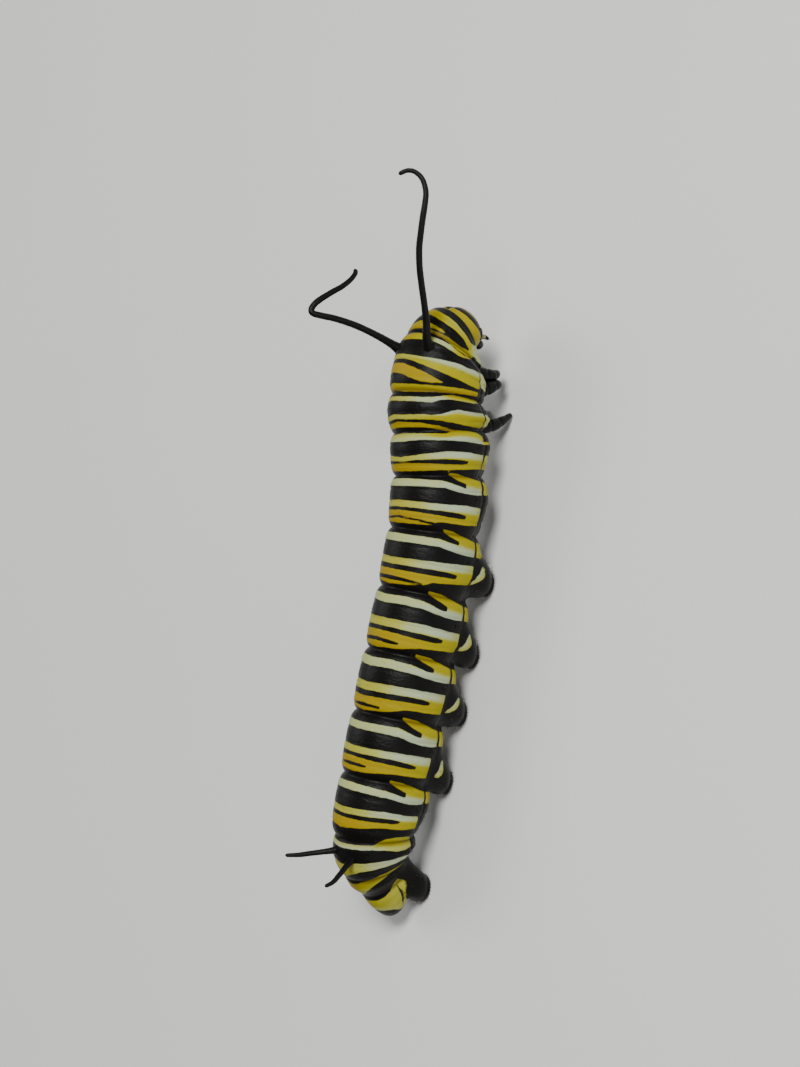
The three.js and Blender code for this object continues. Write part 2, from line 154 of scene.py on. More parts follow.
class Finish:
    """One material. node() adds any node, and the other methods name the ones used most."""

    def __init__(self, name):
        self.material = bpy.data.materials.new(name)
        self.material.use_nodes = True
        self.tree = self.material.node_tree
        self.surface = self.tree.nodes["Principled BSDF"]

    def node(self, kind, settings=None, values=None, output=0):
        node = self.tree.nodes.new(kind)
        for key, setting in (settings or {}).items():
            if key == "stops":
                set_stops(node.color_ramp, setting)
            else:
                setattr(node, key, setting)
        for key, value in (values or {}).items():
            self.feed(node.inputs[key], value)
        return Value(self, node.outputs[output])

    def feed(self, socket, value):
        if isinstance(value, Value):
            self.tree.links.new(value.socket, socket)
        else:
            socket.default_value = value

    def math(self, operation, first, second=0.0):
        return self.node("ShaderNodeMath", {"operation": operation}, {0: first, 1: second})

    def mix(self, share, first, second):
        """The first colour where the share is 0, and the second where it is 1."""
        first, second = [(*color, 1) if isinstance(color, tuple) else color for color in (first, second)]
        settings = {"data_type": "RGBA"}
        return self.node("ShaderNodeMix", settings, {0: share, 6: first, 7: second}, output=2)

    def step(self, value, low_edge, high_edge):
        """0 below the low edge and 1 above the high one, with a smooth change between them."""
        settings = {"interpolation_type": "SMOOTHSTEP"}
        return self.node("ShaderNodeMapRange", settings, {0: value, 1: low_edge, 2: high_edge})

    def attribute(self, name):
        return self.node("ShaderNodeAttribute", {"attribute_name": name}, output=2)

    def noise(self, per_mm, detail=3.0, stretch=(1, 1, 1)):
        place = self.node("ShaderNodeTexCoord", output=3)
        scaled = self.node("ShaderNodeMapping", values={"Vector": place, "Scale": stretch})
        values = {"Vector": scaled, "Scale": per_mm / MM, "Detail": detail, "Roughness": NOISE_ROUGHNESS}
        return self.node("ShaderNodeTexNoise", values=values)

    def bump(self, height, depth):
        """A normal from a height of 0 to 1 that stands for the depth in millimetres."""
        return self.node("ShaderNodeBump", values={"Height": height, "Distance": depth * MM})

    def paint(self, **channels):
        for channel, value in channels.items():
            self.feed(self.surface.inputs[SURFACE_SOCKETS[channel]], value)


def set_stops(ramp, stops):
    while len(ramp.elements) < len(stops):
        ramp.elements.new(0.5)
    for element, (position, color) in zip(ramp.elements, stops):
        element.position = position
        element.color = (*color, 1)


BLACK = (0.0022, 0.0022, 0.0024)
BLACK_WARM = (0.005, 0.0042, 0.0034)
BLUISH_WHITE = (0.42, 0.50, 0.33)
CREAM = (0.42, 0.43, 0.09)
LEMON = (0.365, 0.325, 0.0)
ORANGE_YELLOW = (0.345, 0.232, 0.0)
DULL_YELLOW = (0.19, 0.16, 0.012)
# Painted shade: the brown that pale skin turns in the folds between segments and along the head's suture
PAINTED_FOLD_SHADE = (0.07, 0.042, 0.0)
PALE_TONES = [(0.0, BLUISH_WHITE), (0.3, CREAM), (0.6, LEMON), (1.0, ORANGE_YELLOW)]


def striped_finish(name, edge, roughness):
    """Skin or shell whose pale parts, their tone and painted crease shade come from the mesh's attributes.

    The pale attribute is the distance in millimetres inside a pale part, and edge is how far from 0 it
    reaches full black or full colour.
    """
    finish = Finish(name)
    waver = finish.noise(2.2, 4.0) - 0.5
    pale = finish.attribute("pale") + waver * 0.11
    mask = finish.step(pale, -edge, edge)
    mottle = finish.noise(1.1, 5.0)
    grain = finish.noise(9.0, 3.0)
    tone = finish.attribute("tone") + (mottle - 0.5) * 0.22
    colored = finish.node("ShaderNodeValToRGB", {"stops": PALE_TONES}, {0: tone})
    shaded = finish.mix(finish.step(grain, 0.25, 0.7) * 0.14, colored, DULL_YELLOW)
    dark = finish.mix(mottle, BLACK, BLACK_WARM)
    # Painted shade: pale parts turn brown in the folds between segments and along the head's suture
    crease = finish.attribute("crease")
    light = finish.mix(crease * 0.8, shaded, PAINTED_FOLD_SHADE)
    wrinkles = finish.noise(3.2, 4.0, stretch=(1, 2.4, 1))
    height = grain * 0.5 + wrinkles * 1.1 + mask * 0.1
    finish.paint(
        color=finish.mix(mask, dark, light),
        roughness=roughness + mask * 0.1 + (grain - 0.5) * 0.16,
        normal=finish.bump(height, 0.03),
        specular=0.12,
    )
    return finish.material


def black_finish(name, roughness, depth, per_mm):
    """Plain black skin or shell, with a bump of the depth and fineness given."""
    finish = Finish(name)
    mottle = finish.noise(1.4, 4.0)
    grain = finish.noise(per_mm, 4.0)
    finish.paint(
        color=finish.mix(mottle, BLACK, BLACK_WARM),
        roughness=roughness + (grain - 0.5) * 0.22,
        normal=finish.bump(grain + mottle * 0.5, depth),
        specular=0.16,
    )
    return finish.material


SKIN = striped_finish("striped_skin", 0.035, 0.4)
HEAD_SHELL = striped_finish("head_shell", 0.03, 0.24)
SOFT_BLACK = black_finish("soft_black_skin", 0.44, 0.03, 7.0)
GLOSSY_BLACK = black_finish("glossy_black_cuticle", 0.24, 0.012, 5.0)


def plain_finish(name, color, variation, roughness, depth):
    """A finish of one colour with slight mottling and grain."""
    finish = Finish(name)
    mottle = finish.noise(3.0, 4.0)
    grain = finish.noise(12.0, 3.0)
    finish.paint(
        color=finish.mix(mottle, color, variation),
        roughness=roughness + (grain - 0.5) * 0.15,
        normal=finish.bump(grain, depth),
    )
    return finish.material


HORN = plain_finish("dark_horn", (0.02, 0.01, 0.005), (0.008, 0.005, 0.003), 0.25, 0.004)
EYE_GLASS = plain_finish("dark_eye", (0.006, 0.006, 0.008), (0.012, 0.010, 0.010), 0.08, 0.0)
HAIR = plain_finish("fine_hair", (0.035, 0.028, 0.02), (0.06, 0.05, 0.035), 0.4, 0.0)
PALE_JOINT = plain_finish("pale_joint_skin", (0.30, 0.29, 0.14), (0.2, 0.18, 0.07), 0.45, 0.01)


# Meshes from grids of points


def add_mesh(name, points, faces, material, attributes=None):
    mesh = bpy.data.meshes.new(name)
    mesh.from_pydata(points.tolist(), [], faces)
    for key, values in (attributes or {}).items():
        mesh.attributes.new(key, "FLOAT", "POINT").data.foreach_set("value", np.asarray(values, np.float32))
    mesh.materials.append(material)
    mesh.polygons.foreach_set("use_smooth", [True] * len(mesh.polygons))
    piece = bpy.data.objects.new(name, mesh)
    bpy.context.scene.collection.objects.link(piece)
    return piece


def tube_faces(ring_count, sides):
    """Faces of a grid that is closed round its rings, and by a fan at each end's middle point."""
    faces = []
    last = (ring_count - 1) * sides
    for here in range(0, last, sides):
        for side in range(sides):
            after = (side + 1) % sides
            faces.append((here + side, here + after, here + sides + after, here + sides + side))
    first_middle = last + sides
    for side in range(sides):
        after = (side + 1) % sides
        faces.append((first_middle, after, side))
        faces.append((first_middle + 1, last + side, last + after))
    return faces


def facing_out(points, faces):
    """The faces, turned round if their mesh is inside out."""
    corners = np.array([points[face[0]] for face in faces])
    volume = 0.0
    for n in range(1, max(len(face) for face in faces) - 1):
        long_enough = [i for i, face in enumerate(faces) if len(face) > n + 1]
        second = np.array([points[faces[i][n]] for i in long_enough])
        third = np.array([points[faces[i][n + 1]] for i in long_enough])
        volume += np.einsum("ij,ij->i", corners[long_enough], np.cross(second, third)).sum()
    if volume < 0:
        return [tuple(reversed(face)) for face in faces]
    return faces


def along_curve(points, count):
    """Evenly spaced points and directions on a smooth curve through the given points."""
    points = np.asarray(points, float)
    before = 2 * points[0] - points[1]
    after = 2 * points[-1] - points[-2]
    padded = np.vstack([before, points, after])
    t = np.linspace(0, 1, 12, endpoint=False)[:, None]
    dense = []
    for n in range(len(points) - 1):
        a, b, c, d = padded[n : n + 4]
        bend = (2 * b - 2 * c + (c - a) / 2 + (d - b) / 2) * t**3
        bend += (-3 * b + 3 * c - (c - a) - (d - b) / 2) * t**2
        dense.append(bend + (c - a) / 2 * t + b)
    dense = np.vstack([*dense, points[-1:]])
    travelled = np.concatenate([[0], np.cumsum(np.linalg.norm(np.diff(dense, axis=0), axis=1))])
    even = np.linspace(0, travelled[-1], count)
    path = np.stack([np.interp(even, travelled, dense[:, k]) for k in range(3)], -1)
    directions = np.gradient(path, axis=0)
    return path, directions / np.linalg.norm(directions, axis=1)[:, None], even


def limb_mesh(points, radius, sides, ring_count):
    """Points and faces of a round limb on a smooth curve.

    radius(share, travelled) is in millimetres, at a share of the length and at the distance travelled.
    """
    path, directions, travelled = along_curve(points, ring_count)
    across = np.cross(directions[0], (0.3, 0.5, 0.8))
    turn = np.arange(sides) * 2 * math.pi / sides
    grid = []
    for n in range(ring_count):
        across = across - directions[n] * (across @ directions[n])
        across /= np.linalg.norm(across)
        other = np.cross(directions[n], across)
        ring = np.cos(turn)[:, None] * across + np.sin(turn)[:, None] * other
        grid.append(path[n] + radius(n / (ring_count - 1), travelled[n]) * ring)
    mesh_points = np.vstack([*grid, path[:1], path[-1:]])
    return mesh_points, facing_out(mesh_points, tube_faces(ring_count, sides))


def joined(parts):
    """Several meshes' points and faces as one."""
    points, faces = [], []
    count = 0
    for part_points, part_faces in parts:
        points.append(part_points)
        faces += [tuple(corner + count for corner in face) for face in part_faces]
        count += len(part_points)
    return np.vstack(points), faces


def ball_mesh(middle, axes, sizes, sides, rows):
    """A ball with its own three half sizes along three directions."""
    first, second, third = (axis * size for axis, size in zip(axes, sizes))
    turn = np.arange(sides) * 2 * math.pi / sides
    row = np.cos(turn)[:, None] * first + np.sin(turn)[:, None] * second
    grid = []
    for latitude in np.linspace(0, math.pi, rows + 1)[1:-1]:
        grid.append(middle + row * math.sin(latitude) + third * math.cos(latitude))
    points = np.vstack([*grid, middle + third, middle - third])
    return points, facing_out(points, tube_faces(len(grid), sides))


# The body's own shape, the same rule as its solids. Each row is a fold between two segments, from the neck
# to the tail: forward, right and up in millimetres, pitch in degrees, radius, and the swelling behind it.

FOLDS = np.array(
    [
        (18.2, -1.5, 5.0, 50, 2.35, -0.05),
        (16.7, -1.45, 5.65, 24, 2.92, 0.05),
        (13.62, -1.1, 5.58, 1, 3.3, 0.05),
        (11.4, -0.75, 5.15, -10, 3.28, 0.05),
        (8.45, -0.35, 4.65, -8, 3.22, 0.05),
        (4.7, -0.05, 4.32, -3, 3.18, 0.05),
        (0.5, 0, 4.22, 0, 3.16, 0.05),
        (-3.8, 0, 4.22, 0, 3.18, 0.05),
        (-8.1, 0, 4.22, 0, 3.18, 0.05),
        (-12.35, 0, 4.22, -2, 3.12, 0.05),
        (-16.2, 0, 4.18, -12, 2.92, 0.05),
        (-18.1, 0, 3.6, -38, 2.5, 0),
        (-19.05, 0, 2.72, -55, 2.0, 0),
        (-21.1, 0.25, 1.15, -62, 1.35, 0),
    ]
)
FORWARD, ACROSS, UP, PITCH, RADIUS, SWELLING = range(6)
TAIL_END = len(FOLDS) - 1
ANAL_SEGMENT = TAIL_END - 1
FIRST_ABDOMINAL = 3
MAIN_RADIUS = FOLDS[5, RADIUS]


def value_at(column, place):
    """A column's value at a place along the body, which is counted in segments from the neck."""
    place = np.asarray(place, float)
    first = np.clip(np.floor(place).astype(int), 0, TAIL_END - 1)
    t = place - first
    a, b, c, d = (FOLDS[np.clip(first + n, 0, TAIL_END), column] for n in (-1, 0, 1, 2))
    slope_in = (c - a) / 2
    slope_out = (d - b) / 2
    curve = 2 * b - 2 * c + slope_in + slope_out
    bend = -3 * b + 3 * c - 2 * slope_in - slope_out
    return ((curve * t + bend) * t + slope_in) * t + b


def body_frame(place):
    """The middle of the body at a place, and the directions ahead, towards the back and right there."""
    pitch = np.radians(value_at(PITCH, place))
    drift = value_at(ACROSS, place - 0.5) - value_at(ACROSS, place + 0.5)
    run = value_at(FORWARD, place - 0.5) - value_at(FORWARD, place + 0.5)
    yaw = np.arctan2(drift, run)
    level = np.zeros_like(pitch)
    middle = np.stack([value_at(column, place) for column in (FORWARD, ACROSS, UP)], -1)
    ahead = np.stack([np.cos(pitch) * np.cos(yaw), np.cos(pitch) * np.sin(yaw), -np.sin(pitch)], -1)
    dorsal = np.stack([np.sin(pitch) * np.cos(yaw), np.sin(pitch) * np.sin(yaw), np.cos(pitch)], -1)
    right = np.stack([-np.sin(yaw), np.cos(yaw), level], -1)
    return middle, ahead, dorsal, right


def hump(distance, width):
    """1 at a distance of 0, and next to nothing past twice the width."""
    return np.exp(-((distance / width) ** 2))


def smooth(value, low_edge, high_edge):
    """0 below the low edge and 1 above the high one, with a smooth change between them."""
    x = np.clip((value - low_edge) / (high_edge - low_edge), 0, 1)
    return x * x * (3 - 2 * x)


LOBE_PLACES = (0.5, 0.38, 0.66, 0.38)  # shares of a segment's length, for the thorax and then the abdomen
FRONT_LOBE_HEIGHT = 0.5
LOBE_HEIGHT = 0.26
LOBE_TURN = 130  # degrees from the middle of the back


def flank_lobe(segment, part):
    """How far the lobe low on a flank stands out, at a share of a segment. Behind it is a hollow."""
    in_thorax = segment < FIRST_ABDOMINAL
    height = np.where(segment == 0, FRONT_LOBE_HEIGHT, LOBE_HEIGHT - 0.2 * smooth(segment + part, 8.8, 10.4))
    hollow = np.where(in_thorax, 0, 0.16 * hump(part - 0.9, 0.2))
    highest = np.choose(np.minimum(segment, FIRST_ABDOMINAL), LOBE_PLACES)
    return height * hump(part - highest, 0.27) - hollow


MINOR_FOLDS = (0.27, 0.51, 0.77)  # shares of a segment's length
MINOR_FOLD_DEPTH = 0.05
GROOVE_TURN = 118  # degrees from the middle of the back
GROOVE_DEPTH = 0.05


def along_segment(place):
    """The segment that a place is in, the share of its length behind its front, and its length."""
    segment = np.clip(np.floor(place).astype(int), 0, ANAL_SEGMENT)
    length = FOLDS[segment, FORWARD] - FOLDS[segment + 1, FORWARD]
    return segment, np.clip(place - segment, 0, 1), length


def skin_radius(place, turn):
    """Distance from the middle of the body to the skin. turn is the angle from the middle of the back."""
    segment, part, length = along_segment(place)
    to_fold = np.minimum(part, 1 - part) * length
    degrees = np.abs(np.degrees(turn))
    radius = value_at(RADIUS, place)
    in_tail = segment == ANAL_SEGMENT
    radius = np.where(in_tail, radius * np.sqrt(1 - 0.94 * part**3), radius)
    scale = radius / MAIN_RADIUS
    fullness = np.sin(math.pi * part)
    ridge = flank_lobe(segment, part) * hump(degrees - LOBE_TURN, 15)
    ridge -= GROOVE_DEPTH * hump(degrees - GROOVE_TURN, 2.6)
    belly = 0.25 * smooth(degrees, 140, 180)
    fold = 0.15 * hump(to_fold, 0.42) + 0.16 * np.exp(-to_fold / 0.12)
    fold = np.where(in_tail & (part > 0.5), 0, fold)
    minor = sum(hump((part - share) * length, 0.1) for share in MINOR_FOLDS)
    minor = np.where(in_tail, 0, minor * MINOR_FOLD_DEPTH * (0.5 + 0.5 * smooth(degrees, 20, 90)))
    swelling = FOLDS[segment, SWELLING]
    return radius + scale * (swelling * fullness - fold + ridge - belly - minor)


# Besides the skin's shape, this sets the painted shade that darkens the pale parts in the folds
def fold_shade(place):
    """How deep in a fold a place is: 1 in a fold between segments, and less in a minor one."""
    _, part, length = along_segment(place)
    to_fold = np.minimum(part, 1 - part) * length
    minor = sum(hump((part - share) * length, 0.05) for share in MINOR_FOLDS)
    return np.clip(hump(to_fold, 0.12) + 0.25 * minor, 0, 1)


# The grid of the skin: rings along the body, and turns round it that are closer together on the belly

RING_SPACING = 0.118
NECK_EDGE = 0.11  # where the skin turns in round the back of the head, as a share of the first segment
UPPER_TURNS, LOWER_TURNS = 100, 100
UPPER_LIMIT = 108

rings = []
for segment in range(TAIL_END):
    step = FOLDS[segment, [FORWARD, UP]] - FOLDS[segment + 1, [FORWARD, UP]]
    bend = math.radians(abs(FOLDS[segment, PITCH] - FOLDS[segment + 1, PITCH])) * FOLDS[segment, RADIUS]
    count = math.ceil((np.hypot(*step) + 0.6 * bend) / RING_SPACING)
    rings += [segment + n / count for n in range(count)]
rings = np.array([*rings, TAIL_END - 1e-6])
rings = rings[rings > NECK_EDGE]
upper = np.linspace(-UPPER_LIMIT, UPPER_LIMIT, UPPER_TURNS, endpoint=False)
lower = np.linspace(UPPER_LIMIT, 360 - UPPER_LIMIT, LOWER_TURNS, endpoint=False)
turns = np.radians(np.concatenate([upper, np.where(lower > 180, lower - 360, lower)]))
PLACE, TURN = np.meshgrid(rings, turns, indexing="ij")


def skin_points(place, turn):
    middle, _, dorsal, right = body_frame(place)
    radius = skin_radius(place, turn)
    return middle + dorsal * (radius * np.cos(turn))[..., None] + right * (radius * np.sin(turn))[..., None]


SKIN_GRID = skin_points(PLACE, TURN)
DEGREES = np.abs(np.degrees(TURN))
MM_PER_PLACE = np.linalg.norm(np.gradient(SKIN_GRID, axis=0), axis=2) / np.gradient(rings)[:, None]
MM_PER_DEGREE = skin_radius(PLACE, TURN) * math.pi / 180


# Stripes. Each row of a region is its degrees from the middle of the back and the places along the body of
# its front and rear edge there. A tone is 0 for white, 0.3 cream, 0.6 lemon and 1 orange-yellow.

# The first two segments are rolled to the left, so their middle line lies at a turn below zero
ROLL = -20 * (1 - smooth(PLACE, 1.9, 3.1))
SIGNED = np.degrees(TURN)
MIRRORED = ROLL + (ROLL - SIGNED) * (180 - ROLL) / (180 + ROLL)
STRIPE_TURN = np.where(SIGNED >= ROLL, SIGNED, MIRRORED)
NO_START, NO_END = -99, 999


class Stripes:
    """The markings: how far inside a pale part each point of the skin is, and the tone there."""

    def __init__(self):
        self.pale = np.full(PLACE.shape, -1.0)
        self.tone = np.full(PLACE.shape, 0.5)

    def distance(self, edges, start=NO_START, end=NO_END, base=0.0):
        """Millimetres inside the region, negative outside it, and the share of the way to its rear edge."""
        degrees, front, rear = np.array(edges, float).T
        front = base + np.interp(STRIPE_TURN, degrees, front)
        rear = base + np.interp(STRIPE_TURN, degrees, rear)
        inside = np.minimum(PLACE - front, rear - PLACE) * MM_PER_PLACE
        within_turns = np.minimum(STRIPE_TURN - start, end - STRIPE_TURN) * MM_PER_DEGREE
        share = np.clip((PLACE - front) / np.maximum(rear - front, 0.01), 0, 1)
        return np.minimum(inside, within_turns), share

    def add_pale(self, edges, front_tone, rear_tone, split=(0.35, 0.65), **limits):
        inside, share = self.distance(edges, **limits)
        tones = [np.interp(STRIPE_TURN, *np.array(tone, float).T) for tone in (front_tone, rear_tone)]
        tone = tones[0] + (tones[1] - tones[0]) * smooth(share, *split)
        self.tone = np.where(inside > self.pale, tone, self.tone)
        self.pale = np.maximum(self.pale, inside)

    def add_black(self, edges, **limits):
        inside, _ = self.distance(edges, **limits)
        self.pale = np.minimum(self.pale, -inside)


stripes = Stripes()

# Thorax: the collar and side patch of the first segment, then bands that slope forward on the flanks
COLLAR = [
    (-13, 0.29, 0.52), (10, 0.37, 0.56), (26, 0.4, 0.61), (43, 0.405, 0.64), (57, 0.43, 0.64),
    (68, 0.455, 0.655), (79, 0.47, 0.69), (91, 0.49, 0.78), (98, 0.4, 0.8),
]
stripes.add_pale(COLLAR, [(0, 0.8), (50, 0.4), (80, 0.5)], [(0, 0.85), (45, 0.5), (90, 0.7)], end=99)
REAR_YELLOW = [
    (-20, 0.8, 0.95), (-2, 0.74, 0.93), (7, 0.75, 0.93), (25, 0.785, 0.965), (30, 0.79, 0.98),
    (41, 0.815, 1.0), (49, 0.86, 1.02), (53, 0.925, 1.03), (62, 0.935, 1.06), (78, 0.95, 1.105),
    (90, 0.88, 1.08), (97, 0.815, 1.02), (104, 0.81, 0.965),
]
stripes.add_pale(REAR_YELLOW, [(0, 0.8), (60, 0.75)], [(0, 0.9), (60, 0.85), (100, 0.6)], end=105)
LINE_IN_YELLOW = [(12, 0.868, 0.872), (28, 0.855, 0.915), (41, 0.89, 0.925), (49, 0.89, 0.935)]
stripes.add_black(LINE_IN_YELLOW, start=10, end=52)
SIDE_PATCH = [
    (92, 0.52, 0.9), (100, 0.38, 0.93), (105, 0.2, 0.86), (112, 0.0, 0.8), (120, -0.5, 0.78),
    (132, -0.5, 0.66),
]
stripes.add_pale(SIDE_PATCH, [(0, 0.12), (130, 0.1)], [(92, 0.6), (104, 0.12)], start=92, end=133)
FRONT_OF_FILAMENT = [
    (-25, 1.11, 1.17), (-5, 1.065, 1.2), (14, 1.04, 1.19), (30, 1.06, 1.165), (47, 1.045, 1.17),
    (57, 1.06, 1.195), (66, 1.105, 1.21), (74, 1.14, 1.235), (82, 1.145, 1.21), (98, 1.08, 1.09),
]
stripes.add_pale(
    FRONT_OF_FILAMENT,
    [(0, 0.9), (30, 0.5), (38, 0.1), (60, 0.1), (72, 0.75)],
    [(0, 0.85), (30, 0.5), (38, 0.15), (60, 0.15), (72, 0.6)],
    end=99,
)
BEFORE_FILAMENT = [(22, 1.0, 1.045), (30, 1.0, 1.075), (47, 1.0, 1.07), (60, 1.055, 1.085), (74, 1.11, 1.13)]
stripes.add_black(BEFORE_FILAMENT, end=72)
MIDDLE_PALE = [
    (-30, 1.4, 1.48), (-15, 1.43, 1.5), (0, 1.445, 1.51), (17, 1.465, 1.546), (27, 1.466, 1.581),
    (42, 1.456, 1.616), (58, 1.432, 1.656), (73, 1.4, 1.686), (90, 1.375, 1.716), (105, 1.32, 1.72),
    (112, 1.29, 1.7), (115, 1.25, 1.6), (126, 1.21, 1.66), (140, 1.12, 1.56), (150, 1.1, 1.4),
]
stripes.add_pale(
    MIDDLE_PALE,
    [(0, 0.45), (40, 0.15), (60, 0.0), (100, 0.0), (116, 0.1)],
    [(0, 0.5), (30, 0.62), (60, 0.6), (104, 0.66), (114, 0.66), (117, 0.15)],
    split=(0.15, 0.5),
    end=152,
)
MIDDLE_ORANGE = [
    (-30, 1.53, 1.67), (-18, 1.56, 1.7), (2, 1.586, 1.745), (14, 1.626, 1.8), (29, 1.676, 1.85),
    (44, 1.741, 1.856), (57, 1.812, 1.822),
]
stripes.add_pale(MIDDLE_ORANGE, [(0, 1.0)], [(0, 0.95), (45, 0.85)], end=57)
MIDDLE_YELLOW = [
    (-35, 1.85, 1.95), (5, 1.901, 2.04), (32, 1.906, 2.04), (54, 1.891, 2.011), (75, 1.861, 1.976),
    (95, 1.821, 1.94), (108, 1.8, 1.9),
]
stripes.add_pale(MIDDLE_YELLOW, [(0, 0.7), (60, 0.8)], [(0, 0.85), (60, 0.95)], end=110)
THIRD_WHITE = [
    (-34, 2.1, 2.18), (7, 2.146, 2.246), (33, 2.161, 2.271), (45, 2.15, 2.278), (57, 2.095, 2.186),
    (68, 2.04, 2.156), (80, 2.031, 2.165), (100, 2.026, 2.151), (113, 2.0, 2.09), (119, 2.0, 2.03),
]
stripes.add_pale(
    THIRD_WHITE,
    [(0, 0.4), (30, 0.15), (55, 0.1), (66, 0.75)],
    [(0, 0.45), (30, 0.1), (57, 0.0), (72, 0.45)],
    end=120,
)
THIRD_PALE = [
    (-22, 2.52, 2.63), (8, 2.576, 2.69), (33, 2.591, 2.72), (45, 2.61, 2.735), (56, 2.586, 2.766),
    (66, 2.5, 2.81), (76, 2.44, 2.845), (86, 2.465, 2.89), (103, 2.476, 2.93), (119, 2.461, 2.95),
    (124, 2.5, 2.9), (135, 2.4, 2.9), (150, 2.35, 2.86),
]
stripes.add_pale(
    THIRD_PALE,
    [(0, 0.5), (40, 0.35), (62, 0.0), (100, 0.0), (140, 0.15)],
    [(0, 0.45), (30, 0.5), (50, 0.66), (118, 0.66), (124, 0.25)],
    split=(0.12, 0.4),
    end=153,
)
THIRD_ORANGE = [
    (-35, 2.72, 2.85), (5, 2.751, 2.885), (31, 2.806, 2.911), (52, 2.891, 2.976), (66, 2.97, 3.04),
    (76, 3.02, 3.05),
]
stripes.add_pale(THIRD_ORANGE, [(0, 0.95)], [(0, 0.9)], end=77)

# Abdomen: in each segment a white band, which a yellow wedge joins on the flank, then a main black band,
# then a loop of yellow that closes low on the flank and is split by one or two fine black lines.
FRONT_BANDS = [
    [
        (0, 0.02, 0.22), (30, 0.05, 0.2), (60, 0.08, 0.235), (75, 0.0, 0.26), (90, 0.02, 0.28),
        (105, 0.06, 0.32), (115, 0.15, 0.34), (118, 0.28, 0.34), (150, 0.31, 0.34),
    ],
    [
        (0, 0.053, 0.21), (30, 0.07, 0.205), (56, 0.09, 0.22), (60, -0.08, 0.22), (75, -0.05, 0.28),
        (90, 0.0, 0.31), (105, 0.05, 0.32), (118, 0.08, 0.31), (150, 0.1, 0.3),
    ],
    [
        (0, 0.094, 0.23), (30, 0.097, 0.225), (56, 0.1, 0.22), (60, -0.07, 0.22), (75, -0.05, 0.26),
        (90, 0.0, 0.29), (105, 0.05, 0.3), (118, 0.08, 0.3), (150, 0.1, 0.3),
    ],
    [
        (0, 0.12, 0.245), (30, 0.095, 0.225), (53, 0.11, 0.23), (57, -0.06, 0.235), (75, -0.044, 0.28),
        (90, 0.0, 0.3), (105, 0.05, 0.305), (118, 0.08, 0.3), (150, 0.1, 0.29),
    ],
    [
        (0, 0.12, 0.26), (30, 0.1, 0.235), (53, 0.12, 0.245), (57, -0.06, 0.25), (75, -0.044, 0.28),
        (90, 0.0, 0.3), (105, 0.05, 0.31), (118, 0.08, 0.3), (150, 0.1, 0.29),
    ],
    [
        (0, 0.15, 0.26), (30, 0.13, 0.25), (53, 0.12, 0.25), (57, -0.06, 0.25), (75, -0.044, 0.3),
        (90, 0.0, 0.33), (105, 0.05, 0.33), (118, 0.08, 0.31), (150, 0.1, 0.29),
    ],
    [
        (0, 0.09, 0.2), (30, 0.1, 0.205), (53, 0.12, 0.22), (57, -0.06, 0.22), (75, -0.04, 0.26),
        (90, 0.0, 0.29), (105, 0.05, 0.29), (118, 0.08, 0.28), (150, 0.1, 0.27),
    ],
]
# The black sliver between the wedge and the white band, to its tip
SLIVERS = [
    [],
    [(53, -0.12, 0.085), (60, -0.12, 0.1), (63, -0.04, 0.115), (75, 0.07, 0.17), (87, 0.14, 0.225)],
    [(53, -0.12, 0.09), (60, -0.1, 0.1), (63, -0.03, 0.11), (75, 0.05, 0.14), (86, 0.1, 0.165)],
    [(50, -0.06, 0.09), (56, -0.04, 0.12), (60, 0.0, 0.13), (75, 0.07, 0.19), (86, 0.13, 0.21)],
    [(50, -0.06, 0.1), (56, -0.04, 0.12), (60, 0.0, 0.13), (75, 0.07, 0.175), (85, 0.11, 0.18)],
    [(50, -0.06, 0.11), (56, -0.04, 0.12), (60, 0.0, 0.13), (75, 0.09, 0.195), (86, 0.14, 0.21)],
    [(50, -0.06, 0.1), (56, -0.04, 0.12), (60, 0.0, 0.13), (75, 0.08, 0.17), (82, 0.11, 0.19)],
]
LOOPS = [
    [
        (0, 0.59, 0.91), (30, 0.54, 0.9), (60, 0.485, 0.88), (90, 0.515, 0.86), (105, 0.56, 0.85),
        (150, 0.6, 0.85),
    ],
    [
        (0, 0.485, 0.91), (30, 0.5, 0.9), (47, 0.51, 0.89), (54, 0.515, 0.83), (60, 0.515, 0.82),
        (90, 0.51, 0.83), (118, 0.54, 0.81),
    ],
    [
        (0, 0.506, 0.94), (30, 0.49, 0.905), (50, 0.475, 0.86), (60, 0.47, 0.8), (75, 0.46, 0.78),
        (90, 0.45, 0.76), (116, 0.44, 0.735),
    ],
    [
        (0, 0.485, 0.955), (30, 0.48, 0.92), (40, 0.475, 0.9), (60, 0.47, 0.84), (90, 0.5, 0.82),
        (115, 0.515, 0.81),
    ],
    [
        (0, 0.52, 0.97), (26, 0.5, 0.93), (40, 0.49, 0.9), (60, 0.485, 0.82), (90, 0.485, 0.81),
        (112, 0.5, 0.81),
    ],
    [(0, 0.53, 0.92), (25, 0.52, 0.9), (60, 0.5, 0.835), (90, 0.5, 0.84), (110, 0.51, 0.84)],
    [(0, 0.47, 0.79), (30, 0.455, 0.75), (60, 0.44, 0.7), (90, 0.48, 0.73), (112, 0.5, 0.73)],
]
LOOP_ENDS = [152, 118, 116, 115, 112, 110, 112]
